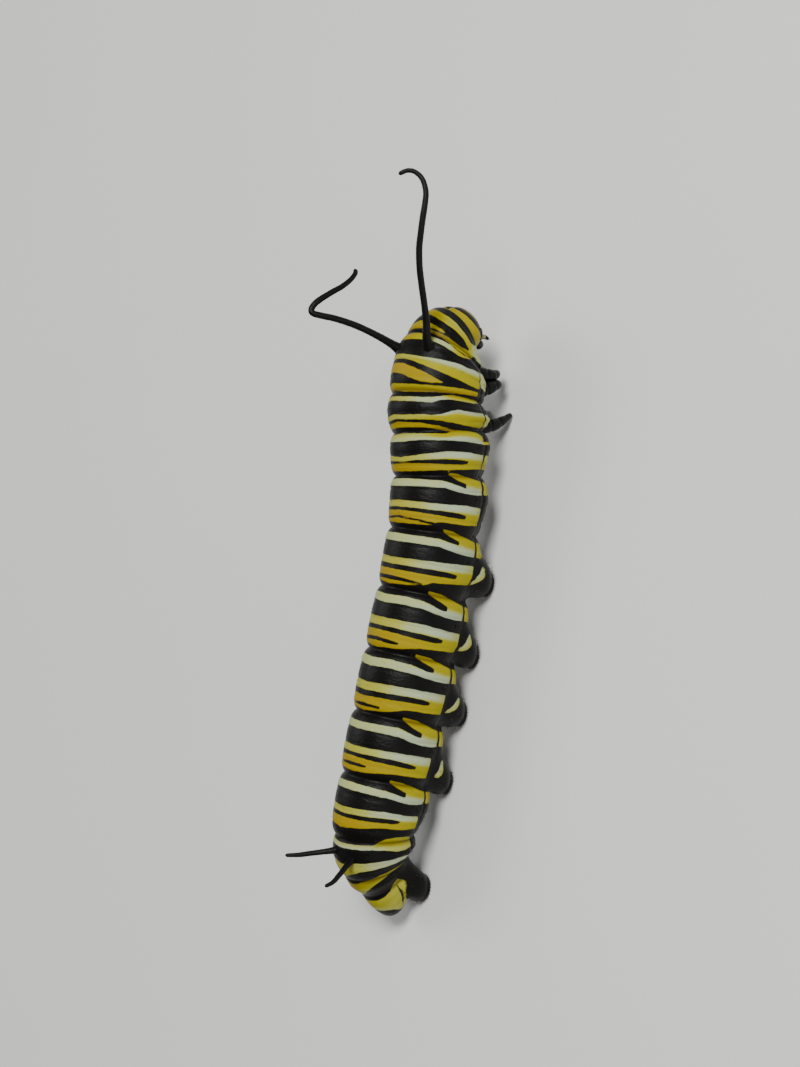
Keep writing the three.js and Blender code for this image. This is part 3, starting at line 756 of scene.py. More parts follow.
FRONT_LINES = [
    [(0, 0.69, 0.735), (30, 0.66, 0.74), (60, 0.65, 0.76), (80, 0.675, 0.77), (88, 0.7, 0.75)],
    [(0, 0.61, 0.676), (30, 0.62, 0.69), (60, 0.63, 0.72), (80, 0.65, 0.735), (90, 0.675, 0.73)],
    [(0, 0.617, 0.697), (60, 0.595, 0.69), (80, 0.6, 0.685), (90, 0.62, 0.675)],
    [(0, 0.61, 0.68), (30, 0.61, 0.69), (60, 0.617, 0.71), (80, 0.63, 0.715), (88, 0.65, 0.7)],
    [(0, 0.647, 0.74), (60, 0.61, 0.7), (80, 0.62, 0.7), (88, 0.64, 0.685)],
    [(0, 0.63, 0.69), (60, 0.615, 0.705), (80, 0.645, 0.72), (87, 0.67, 0.71)],
    [(0, 0.56, 0.62), (60, 0.54, 0.62), (76, 0.555, 0.62), (82, 0.575, 0.605)],
]
REAR_LINES = [
    [],
    [(0, 0.77, 0.82), (30, 0.81, 0.85), (47, 0.835, 0.885), (56, 0.85, 0.9)],
    [(0, 0.8, 0.873), (30, 0.815, 0.87), (48, 0.84, 0.87)],
    [(0, 0.79, 0.85), (20, 0.805, 0.865), (34, 0.825, 0.86)],
    [(0, 0.847, 0.905), (26, 0.86, 0.895)],
    [(0, 0.78, 0.835), (24, 0.79, 0.825)],
    [],
]
FIRST_FRONT_TONES = [(0, 0.3), (30, 0.32), (52, 0.8), (75, 0.75), (100, 0.62)]
WEDGE_STARTS = (0, 60, 60, 57, 57, 57, 57)  # degrees
WEDGE_TONES = [(75, 0.8), (90, 0.7), (110, 0.62)]
WHITE_TONES = [(0, 0.18), (45, 0.1), (75, 0.0), (110, 0.0), (118, 0.3), (125, 0.6)]
LOOP_FRONT_TONES = [(0, 0.5), (25, 0.38), (45, 0.14), (70, 0.0), (100, 0.05), (118, 0.3)]
LOOP_REAR_TONES = [(0, 1.0), (40, 0.9), (75, 0.78), (95, 0.66), (120, 0.62)]

for number, front_band in enumerate(FRONT_BANDS):
    base = FIRST_ABDOMINAL + number
    wedge = WEDGE_STARTS[number]
    front_tones = FIRST_FRONT_TONES
    if wedge:
        front_tones = [(0, 0.2), (45, 0.14), (wedge - 1.5, 0.14), (wedge, 0.95), *WEDGE_TONES]
    stripes.add_pale(front_band, front_tones, WHITE_TONES, split=(0.4, 0.72), base=base, end=152)
    if SLIVERS[number]:
        stripes.add_black(SLIVERS[number], base=base, start=48, end=SLIVERS[number][-1][0])
    loop_end = LOOP_ENDS[number]
    stripes.add_pale(LOOPS[number], LOOP_FRONT_TONES, LOOP_REAR_TONES, (0.3, 0.5), base=base, end=loop_end)
    for line in (FRONT_LINES[number], REAR_LINES[number]):
        if line:
            stripes.add_black(line, base=base, end=line[-1][0])

# On the thorax a fine dark crease parts the yellow of the flank from the white lobes below it
stripes.add_black([(0, 1.24, 1.74), (180, 1.24, 1.74)], start=113.2, end=115.2)
stripes.add_black([(0, 2.42, 2.98), (180, 2.42, 2.98)], start=119.2, end=121.2)

# Eighth to tenth abdominal segments: narrower bands that crowd together, and a yellow tail shield
EIGHTH = FIRST_ABDOMINAL + 7
EIGHTH_FRONT_BAND = [
    (0, 0.075, 0.16), (30, 0.06, 0.145), (50, 0.05, 0.14), (55, 0.03, 0.14), (60, -0.03, 0.145),
    (67, -0.09, 0.15), (80, -0.125, 0.19), (90, -0.125, 0.24), (104, -0.11, 0.25), (112, -0.06, 0.24),
    (117, 0.02, 0.2),
]
EIGHTH_REAR_BAND = [
    (0, 0.5, 0.84), (15, 0.46, 0.74), (30, 0.44, 0.66), (60, 0.43, 0.62), (90, 0.45, 0.62),
    (112, 0.55, 0.65),
]
NINTH_BAND = [
    (0, 1.14, 1.86), (15, 1.09, 1.66), (30, 1.02, 1.43), (45, 0.96, 1.24), (60, 0.89, 1.12),
    (75, 0.86, 1.02), (90, 0.87, 0.98), (108, 0.93, 0.99),
]
TAIL_SHIELD = [
    (0, 2.12, 2.42), (30, 2.12, 2.5), (45, 2.1, 2.56), (60, 2.05, 2.7), (67, 1.95, 2.75),
    (75, 1.85, 2.8), (86, 1.8, 2.85), (92, 2.05, 2.9), (96, 2.3, 2.9),
]
SHIELD_CREASE = [(76, 2.0, 2.4), (80, 2.05, 2.85), (85, 2.45, 2.95)]
stripes.add_pale(
    EIGHTH_FRONT_BAND,
    [(0, 0.25), (50, 0.2), (62, 0.62), (115, 0.5)],
    [(0, 0.05), (60, 0.1), (75, 0.3), (115, 0.3)],
    split=(0.5, 0.8),
    base=EIGHTH,
    end=118,
)
stripes.add_pale(
    EIGHTH_REAR_BAND,
    [(0, 0.5), (40, 0.25), (70, 0.0)],
    [(0, 0.6), (30, 0.4), (60, 0.1)],
    base=EIGHTH,
    end=113,
)
stripes.add_pale(NINTH_BAND, [(0, 0.75), (60, 0.7)], [(0, 0.55), (60, 0.5)], base=EIGHTH, end=110)
stripes.add_pale(
    TAIL_SHIELD,
    [(0, 0.62), (60, 0.48)],
    [(0, 0.2), (60, 0.35)],
    split=(0.6, 0.95),
    base=EIGHTH,
    end=98,
)
stripes.add_black(SHIELD_CREASE, base=EIGHTH, start=78, end=82.5)

# The groove low on the flank is black along the abdomen
GROOVE = [(0, FIRST_ABDOMINAL + 0.42, TAIL_END)]
GROOVE_HALF_WIDTH = 2.2  # degrees
stripes.add_black(GROOVE, start=GROOVE_TURN - GROOVE_HALF_WIDTH, end=GROOVE_TURN + GROOVE_HALF_WIDTH)


# Prolegs, pulled out of the grid so that the skin runs on to them without a seam

# Heights above the floor and half widths there
PROLEG_PROFILE = [(0, 0.6), (0.06, 0.68), (0.18, 0.74), (0.36, 0.71), (0.48, 0.8), (0.75, 1.0), (1.05, 1.18)]
ANAL_PROFILE = [(0, 0.66), (0.06, 0.75), (0.2, 0.81), (0.4, 0.79), (0.55, 0.88), (0.85, 0.96), (1.15, 1.03)]
FIRST_WITH_PROLEGS = FIRST_ABDOMINAL + 2
PROLEG_SHARES = (0.52, 0.6, 0.6, 0.68)  # places along their segments
PROLEG_SPREADS = (1.55, 1.52, 1.48, 1.42)  # how far the soles stand from the middle line
PROLEG_SLANTS = (0.65, 1.1, 0.8, 0.95)  # how far the soles stand behind the roots
LENGTHENING = 1.2  # a proleg's length from front to rear, as a share of its width
LEG_TOP = 2.5

# Each proleg's "place", "turn" and "reach" give the patch of skin that it is pulled from, with the reach in
# millimetres along the body, outwards and inwards. "black" is the share of that patch that is black.
prolegs = []
for side in (RIGHT, LEFT):
    for pair, (share, spread, slant) in enumerate(zip(PROLEG_SHARES, PROLEG_SPREADS, PROLEG_SLANTS)):
        place = FIRST_WITH_PROLEGS + pair + share
        prolegs.append(
            {
                "side": side,
                "forward": float(value_at(FORWARD, place)),
                "right": float(value_at(ACROSS, place)) + side * spread,
                "slant": slant,
                "lean": 0.45,
                "profile": PROLEG_PROFILE,
                "place": place + 0.04,
                "turn": 151,
                "reach": (1.75, 2.1, 1.35),
                "black": 0.95,
            }
        )
    prolegs.append(
        {
            "side": side,
            "forward": -18.95,
            "right": side * 1.3,
            "slant": 0.45,
            "lean": 0.1,
            "profile": ANAL_PROFILE,
            "place": 12.3,
            "turn": 138,
            "reach": (1.6, 1.8, 1.3),
            "black": 0.9,
        }
    )

# The middle of a proleg's patch of skin is its sole, out to the first of these shares of the patch. The skin
# from there to the second share is its wall.
LEG_SOLE, LEG_WALL = 0.3, 0.74
BEYOND_REACH = 9.0


def pull_proleg(grid, leg):
    """Moves a proleg's patch of skin into its shape. Returns each point's share of the way to its edge."""
    column = int(np.argmin(np.abs(np.degrees(turns) - leg["side"] * leg["turn"])))
    steps = np.linalg.norm(np.diff(SKIN_GRID[:, column], axis=0), axis=1)
    travelled = np.concatenate([[0], np.cumsum(steps)])
    behind = (travelled - np.interp(leg["place"], rings, travelled))[:, None]
    outward = (leg["turn"] - DEGREES) * MM_PER_DEGREE
    along, out, inward = leg["reach"]
    x = -behind / along + np.zeros_like(outward)
    y = np.where(outward > 0, outward / out, outward / inward)
    same_side = np.sign(TURN) == leg["side"]
    share = np.where(same_side, np.hypot(x, y), BEYOND_REACH)
    heights, widths = np.array(leg["profile"]).T
    wall = np.clip((share - LEG_SOLE) / (LEG_WALL - LEG_SOLE), 0, None)
    lengths = np.concatenate([[0], np.cumsum(np.hypot(np.diff(heights), np.diff(widths)))])
    on_wall = wall * lengths[-1]
    height = np.interp(on_wall, lengths, heights) + np.maximum(on_wall - lengths[-1], 0) * 0.9
    width = np.interp(on_wall, lengths, widths) + np.maximum(on_wall - lengths[-1], 0) * 0.35
    width = np.where(share < LEG_SOLE, widths[0] * share / LEG_SOLE, width)
    direction_x = x / np.maximum(share, 1e-6)
    direction_y = y / np.maximum(share, 1e-6)
    target = np.stack(
        [
            leg["forward"] - leg["slant"] * (1 - height / LEG_TOP) + LENGTHENING * width * direction_x,
            leg["right"] + leg["side"] * (width * direction_y + leg["lean"] * height / LEG_TOP),
            height,
        ],
        -1,
    )
    weight = (1 - smooth(share, LEG_WALL - 0.1, 1.0))[..., None]
    grid[:] = np.where(share[..., None] < 1, grid + (target - grid) * weight, grid)
    return share


skin_grid = SKIN_GRID.copy()
leg_share = np.full(PLACE.shape, BEYOND_REACH)
outside_black = np.full(PLACE.shape, BEYOND_REACH)
for leg in prolegs:
    share = pull_proleg(skin_grid, leg)
    leg_share = np.minimum(leg_share, share)
    outside_black = np.minimum(outside_black, share - leg["black"])

# Soften the ring where a proleg meets the body
SOFTENING_STEPS = 8
soften = smooth(leg_share, LEG_SOLE + 0.12, LEG_WALL) * (1 - smooth(leg_share, 1.1, 1.5))
for _ in range(SOFTENING_STEPS):
    around = np.roll(skin_grid, 1, axis=1) + np.roll(skin_grid, -1, axis=1)
    around[1:-1] += skin_grid[2:] + skin_grid[:-2]
    around[1:-1] /= 4
    around[0] = skin_grid[0]
    around[-1] = skin_grid[-1]
    skin_grid += (around - skin_grid) * (0.6 * soften)[..., None]
skin_grid[..., 2] = np.maximum(skin_grid[..., 2], 0)

# Prolegs are black, with a pale leaf-shaped patch that slants across the outer side of the root
MM_PER_SHARE = 1.6
stripes.pale = np.minimum(stripes.pale, outside_black * MM_PER_SHARE)
PATCH_TOP = 117.5  # degrees from the middle of the back
PATCH_ENDS = (125.6, 127, 127, 127)
PATCH_LENGTHS = ((0.4, 0.77), (0.45, 0.8), (0.48, 0.8), (0.5, 0.82))  # places along their segments
for pair, (end, (front, rear)) in enumerate(zip(PATCH_ENDS, PATCH_LENGTHS)):
    down = end - PATCH_TOP
    patch = [
        (PATCH_TOP, rear - 0.08, rear - 0.03),
        (PATCH_TOP + 0.26 * down, front + 0.15, rear - 0.06),
        (PATCH_TOP + 0.5 * down, front + 0.08, rear - 0.16),
        (PATCH_TOP + 0.75 * down, front + 0.03, rear - 0.24),
        (end, front, front + 0.02),
    ]
    base = FIRST_WITH_PROLEGS + pair
    stripes.add_pale(patch, [(0, 0.1)], [(0, 0.35)], base=base, start=PATCH_TOP + 0.4, end=end + 0.4)

# Yellow lobes that carry the front band on below the groove
for base in range(FIRST_ABDOMINAL + 1, EIGHTH):
    stripes.add_pale([(0, 0.09, 0.27)], [(0, 0.6)], [(0, 0.45)], base=base, start=121, end=147)


LIP_RINGS, CAP_RINGS = 7, 4
LIP_FORWARD = 0.16
LIP_BACK = 0.5
CAP_DEPTH = 0.12


def skin_piece():
    """One closed skin. It rolls in round the neck under the head, and closes at the tail."""
    neck_middle, neck_ahead = body_frame(rings[0])[:2]
    lip = []
    for n in range(LIP_RINGS, 0, -1):
        turn_in = n / LIP_RINGS * math.pi
        innermost = n == LIP_RINGS
        inward = 1 - 0.09 * (1 - math.cos(turn_in)) - (0.25 if innermost else 0)
        shift = LIP_FORWARD * math.sin(turn_in) - (LIP_BACK if innermost else 0)
        lip.append(neck_middle + (skin_grid[0] - neck_middle) * inward + neck_ahead * shift)
    tail_middle, tail_ahead = body_frame(np.array(rings[-1]))[:2]
    cap = []
    for n in range(1, CAP_RINGS + 1):
        bend = n / (CAP_RINGS + 1) * math.pi / 2
        ring = tail_middle + (skin_grid[-1] - tail_middle) * math.cos(bend)
        cap.append(ring - tail_ahead * CAP_DEPTH * math.sin(bend))
    grid = np.concatenate([np.array(lip), skin_grid, np.array(cap)])
    ends = np.array([neck_middle - neck_ahead * LIP_BACK, tail_middle - tail_ahead * CAP_DEPTH])
    points = placed(np.concatenate([grid.reshape(-1, 3), ends]))

    def padded(values):
        front = np.repeat(values[:1], len(lip), axis=0)
        back = np.repeat(values[-1:], len(cap), axis=0)
        whole = np.concatenate([front, values, back]).ravel()
        return np.concatenate([whole, [values[0, 0], values[-1, 0]]])

    faces = facing_out(points, tube_faces(len(grid), len(turns)))
    attributes = {
        "pale": padded(stripes.pale),
        "tone": padded(stripes.tone),
        # painted shade in the folds between segments
        "crease": padded(fold_shade(PLACE)),
        "hairy": padded(1 - smooth(leg_share, 0.75, 0.95)),
    }
    return add_mesh("skin", points, faces, SKIN, attributes)


skin = skin_piece()
FLESH = ["prothorax", "mesothorax", "metathorax", "anal_segment"]
FLESH += [f"abdomen_{n}" for n in range(1, 10)]
FLESH += [f"proleg_{n}_{side}" for n in range(1, 5) for side in SIDE_NAMES.values()]
FLESH += [f"anal_proleg_{side}" for side in SIDE_NAMES.values()]
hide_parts(*FLESH)
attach(skin, "root")


# Head: a glossy capsule with yellow arches, a suture between its lobes, simple eyes, jaws and lips

HEAD_WIDTH, HEAD_HEIGHT, HEAD_DEPTH = 3.7, 3.76, 2.9
HEAD_PITCH = math.radians(35)
HEAD_MIDDLE = np.array([18.6, -1.82, 4.48])
HEAD_OUT = np.array([math.cos(HEAD_PITCH), 0, -math.sin(HEAD_PITCH)])
HEAD_CROWN = np.array([math.sin(HEAD_PITCH), 0, math.cos(HEAD_PITCH)])
HEAD_RIGHT = np.array([0.0, 1.0, 0.0])
HEAD_AXES = (HEAD_RIGHT, HEAD_CROWN, HEAD_OUT)
HEAD_TURNS, HEAD_ROWS = 160, 100
MM_PER_FACE_DEGREE = 0.029


def in_head(right, up, out):
    return HEAD_MIDDLE + right * HEAD_RIGHT + up * HEAD_CROWN + out * HEAD_OUT


def capsule(directions):
    """The capsule's surface in directions given as right, up along the crown, and out along the face."""
    right, up, out = np.moveaxis(directions, -1, 0)
    narrowing = 1 - 0.1 * smooth(-up, 0.1, 1)
    suture = 0.07 * hump(right, 0.05) + 0.09 * hump(right, 0.17)
    suture = suture * smooth(up, -0.1, 0.5) + 0.03 * hump(right, 0.05)
    side = np.abs(right)
    triangle = smooth(out, 0.5, 0.75) * hump(side - 0.24 * (0.55 - up), 0.035) * (1 - smooth(up, 0.3, 0.5))
    size = 1 - suture - 0.025 * triangle
    wide = right * (HEAD_WIDTH / 2) * narrowing
    tall = up * (HEAD_HEIGHT / 2) * size
    deep = out * (HEAD_DEPTH / 2) * size
    return in_head(wide[..., None], tall[..., None], deep[..., None])


def head_piece():
    """The capsule, with an outer and an inner arch and the triangle of the face in yellow."""
    from_pole = np.linspace(0, math.pi, HEAD_ROWS + 2)[1:-1]
    turn = np.arange(HEAD_TURNS) * 2 * math.pi / HEAD_TURNS
    from_pole, turn = np.meshgrid(from_pole, turn, indexing="ij")
    across = np.sin(from_pole)
    grid = np.stack([across * np.sin(turn), across * np.cos(turn), np.cos(from_pole)], -1)
    directions = np.concatenate([grid.reshape(-1, 3), [[0, 0, 1], [0, 0, -1]]])
    points = placed(capsule(directions))
    right, up, out = directions.T
    from_face = np.degrees(np.arccos(np.clip(out, -1, 1)))
    side = np.abs(right)
    above_jaws = smooth(up, -0.75, -0.35)

    def arch(inner, outer):
        return np.minimum(from_face - inner, outer - from_face) * MM_PER_FACE_DEGREE

    outer_arch = np.minimum(arch(71, 112 + 6 * smooth(up, 0.3, 0.9)), (up + 0.66) * 1.8)
    inner_arch = np.minimum(arch(38, 50), (up + 0.6) * 1.8)
    triangle = np.minimum((0.42 - up) * 1.2, (0.3 * (0.62 - up) - side) * 1.5)
    triangle = np.minimum(triangle, np.minimum((up + 0.55) * 1.8, (out - 0.6) * 1.6))
    pale = np.maximum(np.maximum(outer_arch, inner_arch), triangle)
    pale = np.minimum(pale, (side - 0.02) * 1.75 + 0.02)
    tone = np.where(outer_arch >= pale - 1e-9, 0.78, 0.66) - 0.15 * (1 - above_jaws)
    faces = facing_out(points, tube_faces(HEAD_ROWS, HEAD_TURNS))
    # Painted shade: the pale parts are darkened along the suture's groove
    crease = 0.4 * hump(right, 0.03) * smooth(up, -0.2, 0.3)
    attributes = {"pale": pale, "tone": tone, "crease": crease}
    head = add_mesh("head_capsule", points, faces, HEAD_SHELL, attributes)
    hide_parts("head")
    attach(head, "root")


head_piece()


def head_ball(right, up, out, sizes, sides, rows):
    """A ball at a place in the head, with half sizes to the right, towards the crown and out."""
    return ball_mesh(in_head(right, up, out), HEAD_AXES, sizes, sides, rows)


def tapered(start, end):
    """A limb's radius that runs evenly from one value to another."""
    return lambda share, _: start + (end - start) * share


def jointed(start, end, joints, depth):
    """A limb's radius that runs evenly from one value to another, drawn in at its joints."""

    def radius(share, _):
        narrowing = depth * abs(math.cos(math.pi * joints * share)) ** 6
        return (start + (end - start) * share) * (1 - narrowing)

    return radius


def joined_piece(name, parts, material, replaces=()):
    """Joins the parts to one piece, which rides on the root."""
    points, faces = joined(parts)
    piece = add_mesh(name, placed(points), facing_out(placed(points), faces), material)
    if replaces:
        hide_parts(*replaces)
    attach(piece, "root")
    return piece


def upper_lip():
    """The labrum, with its two rounded corners."""
    parts = [head_ball(0, -1.48, 0.75, (0.6, 0.26, 0.26), 24, 14)]
    for side in (RIGHT, LEFT):
        parts.append(head_ball(side * 0.2, -1.66, 0.85, (0.27, 0.17, 0.16), 18, 10))
    return parts


def jaws():
    """The mandibles, each with four teeth along its edge."""
    parts = []
    for side in (RIGHT, LEFT):
        parts.append(head_ball(side * 0.46, -1.74, 0.5, (0.42, 0.38, 0.36), 24, 14))
        for tooth in range(4):
            root = in_head(side * (0.14 + 0.09 * tooth), -2.04 + 0.03 * tooth, 0.62)
            tip = in_head(side * (0.08 + 0.09 * tooth), -2.16 + 0.04 * tooth, 0.68)
            parts.append(limb_mesh([root, (root + tip) / 2, tip], tapered(0.055, 0.0165), 8, 5))
    return parts


PALP = [(0.44, -1.8, -0.05), (0.42, -2.0, 0.02), (0.38, -2.14, 0.1)]  # right, up and out in the head


def lower_mouth():
    """The lower lip and the spinneret behind the jaws, and the maxillae, each with a small jointed palp."""
    parts = [head_ball(0, -1.56, -0.2, (0.24, 0.28, 0.24), 20, 12)]
    for side in (RIGHT, LEFT):
        parts.append(head_ball(side * 0.38, -1.54, -0.08, (0.22, 0.32, 0.22), 20, 12))
        palp = [in_head(side * right, up, out) for right, up, out in PALP]
        parts.append(limb_mesh(palp, jointed(0.11, 0.044, 3, 0.12), 10, 16))
    spinneret = [in_head(0, -1.8, -0.15), in_head(0, -1.98, -0.08), in_head(0, -2.1, 0.0)]
    parts.append(limb_mesh(spinneret, tapered(0.075, 0.0225), 10, 8))
    return parts


joined_piece("upper_lip", upper_lip(), GLOSSY_BLACK)
joined_piece("jaws", jaws(), HORN)
joined_piece("lower_mouth", lower_mouth(), GLOSSY_BLACK)

EYES_PER_SIDE = 6
EYE_RADIUS = 0.12


def eye_place(side, n):
    """Where one of a side's simple eyes stands: five on an arc, and the last one behind them."""
    on_arc = n < EYES_PER_SIDE - 1
    angle = math.radians(-62 + 31 * n)
    across = 0.15 * math.cos(angle) if on_arc else -0.12
    along = 0.2 * math.sin(angle) if on_arc else -0.18
    direction = np.array([side * 0.8, -0.42 + along, 0.42 + across])
    direction /= np.linalg.norm(direction)
    return capsule(direction) - direction[0] * 0.02 * HEAD_RIGHT


eyes = []
for side in (RIGHT, LEFT):
    for n in range(EYES_PER_SIDE):
        eyes.append(ball_mesh(eye_place(side, n), HEAD_AXES, (EYE_RADIUS,) * 3, 16, 10))
joined_piece("simple_eyes", eyes, EYE_GLASS)

# Antennae: a pale base, a black jointed rod and a bristle at its tip
for side in (RIGHT, LEFT):
    root = in_head(side * 0.9, -1.0, 0.6)
    elbow = in_head(side * 1.05, -1.45, 0.95)
    tip = in_head(side * 1.09, -1.72, 1.07)
    middle = (elbow + tip) / 2
    base = limb_mesh([root, (root + elbow) / 2, elbow], tapered(0.22, 0.16), 20, 12)
    joined_piece(f"antenna_base_{SIDE_NAMES[side]}", [base], PALE_JOINT)
    rod = [root * 0.1 + elbow * 0.9, elbow, middle, tip]
    parts = [
        limb_mesh(rod, jointed(0.18, 0.108, 2, 0.2), 18, 24),
        limb_mesh([tip, tip * 2 - middle], tapered(0.03, 0.012), 8, 6),
    ]
    node = f"antenna_{SIDE_NAMES[side]}"
    joined_piece(f"jointed_{node}", parts, GLOSSY_BLACK, [node])


# True legs: jointed black cuticle with a claw at the tip

# For each pair, the middle line that the legs stand beside, their radius at the root, and the points that
# a leg runs through, as forward, across from that line and up
LEGS = {
    "front": (-1.48, 0.64, [(15.85, 0.8, 3.4), (16.0, 1.35, 2.3), (16.2, 1.3, 1.65), (16.4, 0.85, 1.2)]),
    "middle": (-1.35, 0.68, [(14.75, 0.9, 3.5), (15.1, 1.4, 2.4), (15.5, 1.5, 1.65), (15.4, 0.95, 1.1)]),
    "rear": (-0.95, 0.62, [(12.3, 0.9, 3.0), (12.7, 1.4, 1.6), (13.25, 1.5, 0.72), (13.68, 1.4, 0.16)]),
}
LEG_JOINTS = (0.42, 0.64, 0.83)  # shares of a leg's length
CLAW_LOWEST = 0.1


def leg_radius(thickness):
    def radius(share, _):
        from_joint = min(abs(share - joint) for joint in LEG_JOINTS)
        return thickness * (1 - 0.72 * share**1.2) * (1.03 - 0.1 * hump(from_joint, 0.025))

    return radius


def claw_mesh(tip, before_tip):
    """A hooked claw that carries on from a leg's tip, kept just above the floor."""
    ahead = (tip - before_tip) / np.linalg.norm(tip - before_tip)
    hook = np.cross(ahead, (0, 1, 0))
    claw = np.array([tip - ahead * 0.1, tip + ahead * 0.1, tip + ahead * 0.2 - hook * 0.12])
    claw[:, 2] = np.maximum(claw[:, 2], CLAW_LOWEST)
    return limb_mesh(claw, tapered(0.09, 0.0135), 10, 10)


for name, (middle, thickness, points) in LEGS.items():
    for side in (RIGHT, LEFT):
        line = [np.array([forward, middle + side * across, up]) for forward, across, up in points]
        leg_parts = [limb_mesh(line, leg_radius(thickness), 24, 60), claw_mesh(line[-1], line[-2])]
        node = f"leg_{name}_{SIDE_NAMES[side]}"
        joined_piece(f"jointed_{node}", leg_parts, GLOSSY_BLACK, [node])


# Filaments: soft, tapering, with a swollen root

# The points that each one runs through from its root, as forward, right and up
FRONT_RIGHT_POINTS = [
    (16.6, -0.08, 7.7), (17.3, 0.42, 8.6), (18.27, 0.61, 9.04), (19.43, 0.77, 9.65), (20.57, 0.83, 10.22),
    (21.72, 0.91, 10.77), (22.88, 1.01, 11.18), (23.83, 1.15, 11.41), (24.91, 1.26, 11.59),
    (25.87, 1.3, 11.68), (26.62, 1.24, 11.77), (27.36, 0.94, 12.03), (27.73, 0.51, 12.41),
    (27.72, 0.1, 12.77), (27.38, -0.29, 13.11),
]
FRONT_LEFT_POINTS = [
    (16.3, -3.2, 7.3), (16.65, -3.54, 8.18), (16.96, -3.88, 9.09), (17.25, -4.38, 10.06),
    (17.46, -4.87, 11.01), (17.58, -5.46, 12.11), (17.58, -5.89, 12.93), (17.62, -6.22, 13.45),
    (17.9, -6.36, 13.55), (18.45, -6.27, 13.28), (19.31, -6.07, 12.39), (19.85, -5.95, 11.74),
    (20.46, -5.97, 11.13), (21.01, -6.06, 10.77), (21.31, -6.22, 10.79),
]
TAIL_RIGHT_POINTS = [
    (-17.6, 0.75, 5.8), (-18.23, 1.05, 6.69), (-19.05, 1.52, 7.7), (-19.5, 1.73, 8.26), (-19.8, 1.84, 8.92),
]
TAIL_LEFT_POINTS = [
    (-17.5, -0.65, 5.9), (-17.8, -0.9, 6.75), (-18.27, -1.69, 7.92), (-18.53, -2.11, 8.62),
    (-18.72, -2.57, 9.37),
]
# For each, its radius at four shares of its length, its points and the nodes that it stands for
FILAMENTS = {
    "front_filament_right": (
        (0.3, 0.23, 0.22, 0.15),
        FRONT_RIGHT_POINTS,
        ["front_filament_right_base", "front_filament_right_tip"],
    ),
    "front_filament_left": (
        (0.3, 0.24, 0.22, 0.17),
        FRONT_LEFT_POINTS,
        ["front_filament_left_base", "front_filament_left_elbow", "front_filament_left_tip"],
    ),
    "tail_filament_right": ((0.24, 0.2, 0.18, 0.13), TAIL_RIGHT_POINTS, ["rear_filament_right"]),
    "tail_filament_left": ((0.24, 0.2, 0.18, 0.13), TAIL_LEFT_POINTS, ["rear_filament_left"]),
}
RADIUS_SHARES = (0, 0.25, 0.7, 1)
ROOT_FLARE = 0.6
WRINKLE_SPACING = 0.34
WRINKLE_DEPTH = 0.035
FILAMENT_RING_SPACING = 0.085


def filament_radius(radii, length):
    def radius(share, travelled):
        even = np.interp(share, RADIUS_SHARES, radii)
        flare = 1 + ROOT_FLARE * math.exp(-max(travelled - 0.5, 0) / 0.4)
        wrinkle = 1 - WRINKLE_DEPTH * abs(math.sin(math.pi * travelled / WRINKLE_SPACING)) ** 8
        to_tip = (length - travelled) / (1.4 * radii[-1])
        rounding = math.sqrt(max(1 - (1 - min(to_tip, 1)) ** 2, 0.002))
        return even * flare * wrinkle * rounding

    return radius


for name, (radii, points, nodes) in FILAMENTS.items():
    length = float(along_curve(points, 200)[2][-1])
    ring_count = int(length / FILAMENT_RING_SPACING)
    part = limb_mesh(points, filament_radius(radii, length), 24, ring_count)
    joined_piece(name, [part], SOFT_BLACK, nodes)


# Fine hairs, breathing holes and the hooks of the prolegs, each scattered or repeated by Geometry Nodes


class Rule:
    """A Geometry Nodes tree with named inputs."""

    def __init__(self, name):
        self.tree = bpy.data.node_groups.new(name, "GeometryNodeTree")
        self.tree.interface.new_socket("Geometry", in_out="OUTPUT", socket_type="NodeSocketGeometry")
        self.tree.interface.new_socket("Geometry", in_out="INPUT", socket_type="NodeSocketGeometry")
        self.inputs = {}

    def number(self, name, default, kind="NodeSocketFloat"):
        socket = self.tree.interface.new_socket(name, in_out="INPUT", socket_type=kind)
        socket.default_value = default
        self.inputs[name] = socket.identifier

    def start(self):
        self.entry = self.tree.nodes.new("NodeGroupInput")
        self.exit = self.tree.nodes.new("NodeGroupOutput")

    def given(self, name):
        return self.entry.outputs[name]

    def node(self, kind, settings=None, values=None):
        node = self.tree.nodes.new(kind)
        for key, setting in (settings or {}).items():
            setattr(node, key, setting)
        for key, value in (values or {}).items():
            if isinstance(value, bpy.types.NodeSocket):
                self.tree.links.new(value, node.inputs[key])
            else:
                node.inputs[key].default_value = value
        return node

    def math(self, operation, first, second):
        return self.node("ShaderNodeMath", {"operation": operation}, {0: first, 1: second}).outputs[0]

    def ranged(self, value, *limits):
        """The value, moved from between the first two limits to between the last two."""
        values = {0: value} | {n + 1: limit for n, limit in enumerate(limits)}
        return self.node("ShaderNodeMapRange", values=values).outputs[0]

    def attribute(self, name, kind="FLOAT"):
        node = self.node("GeometryNodeInputNamedAttribute", {"data_type": kind}, {"Name": name})
        return node.outputs[0]

    def end(self, instances, material):
        """Makes real meshes of the instances and gives them their material."""
        real = self.node("GeometryNodeRealizeInstances", values={"Geometry": instances})
        painted = self.node("GeometryNodeSetMaterial", values={"Geometry": real.outputs[0]})
        painted.inputs["Material"].default_value = material
        self.tree.links.new(painted.outputs[0], self.exit.inputs[0])

    def apply(self, name, source, values):
        """A new plain mesh: what the tree makes of the source object."""
        carrier = bpy.data.objects.new(name, source.data.copy())
        bpy.context.scene.collection.objects.link(carrier)
        modifier = carrier.modifiers.new(name, "NODES")
        modifier.node_group = self.tree
        for key, value in values.items():
            modifier[self.inputs[key]] = value
        graph = bpy.context.evaluated_depsgraph_get()
        made = bpy.data.meshes.new_from_object(carrier.evaluated_get(graph))
        carrier.modifiers.clear()
        carrier.data = made
        made.name = name
        return carrier


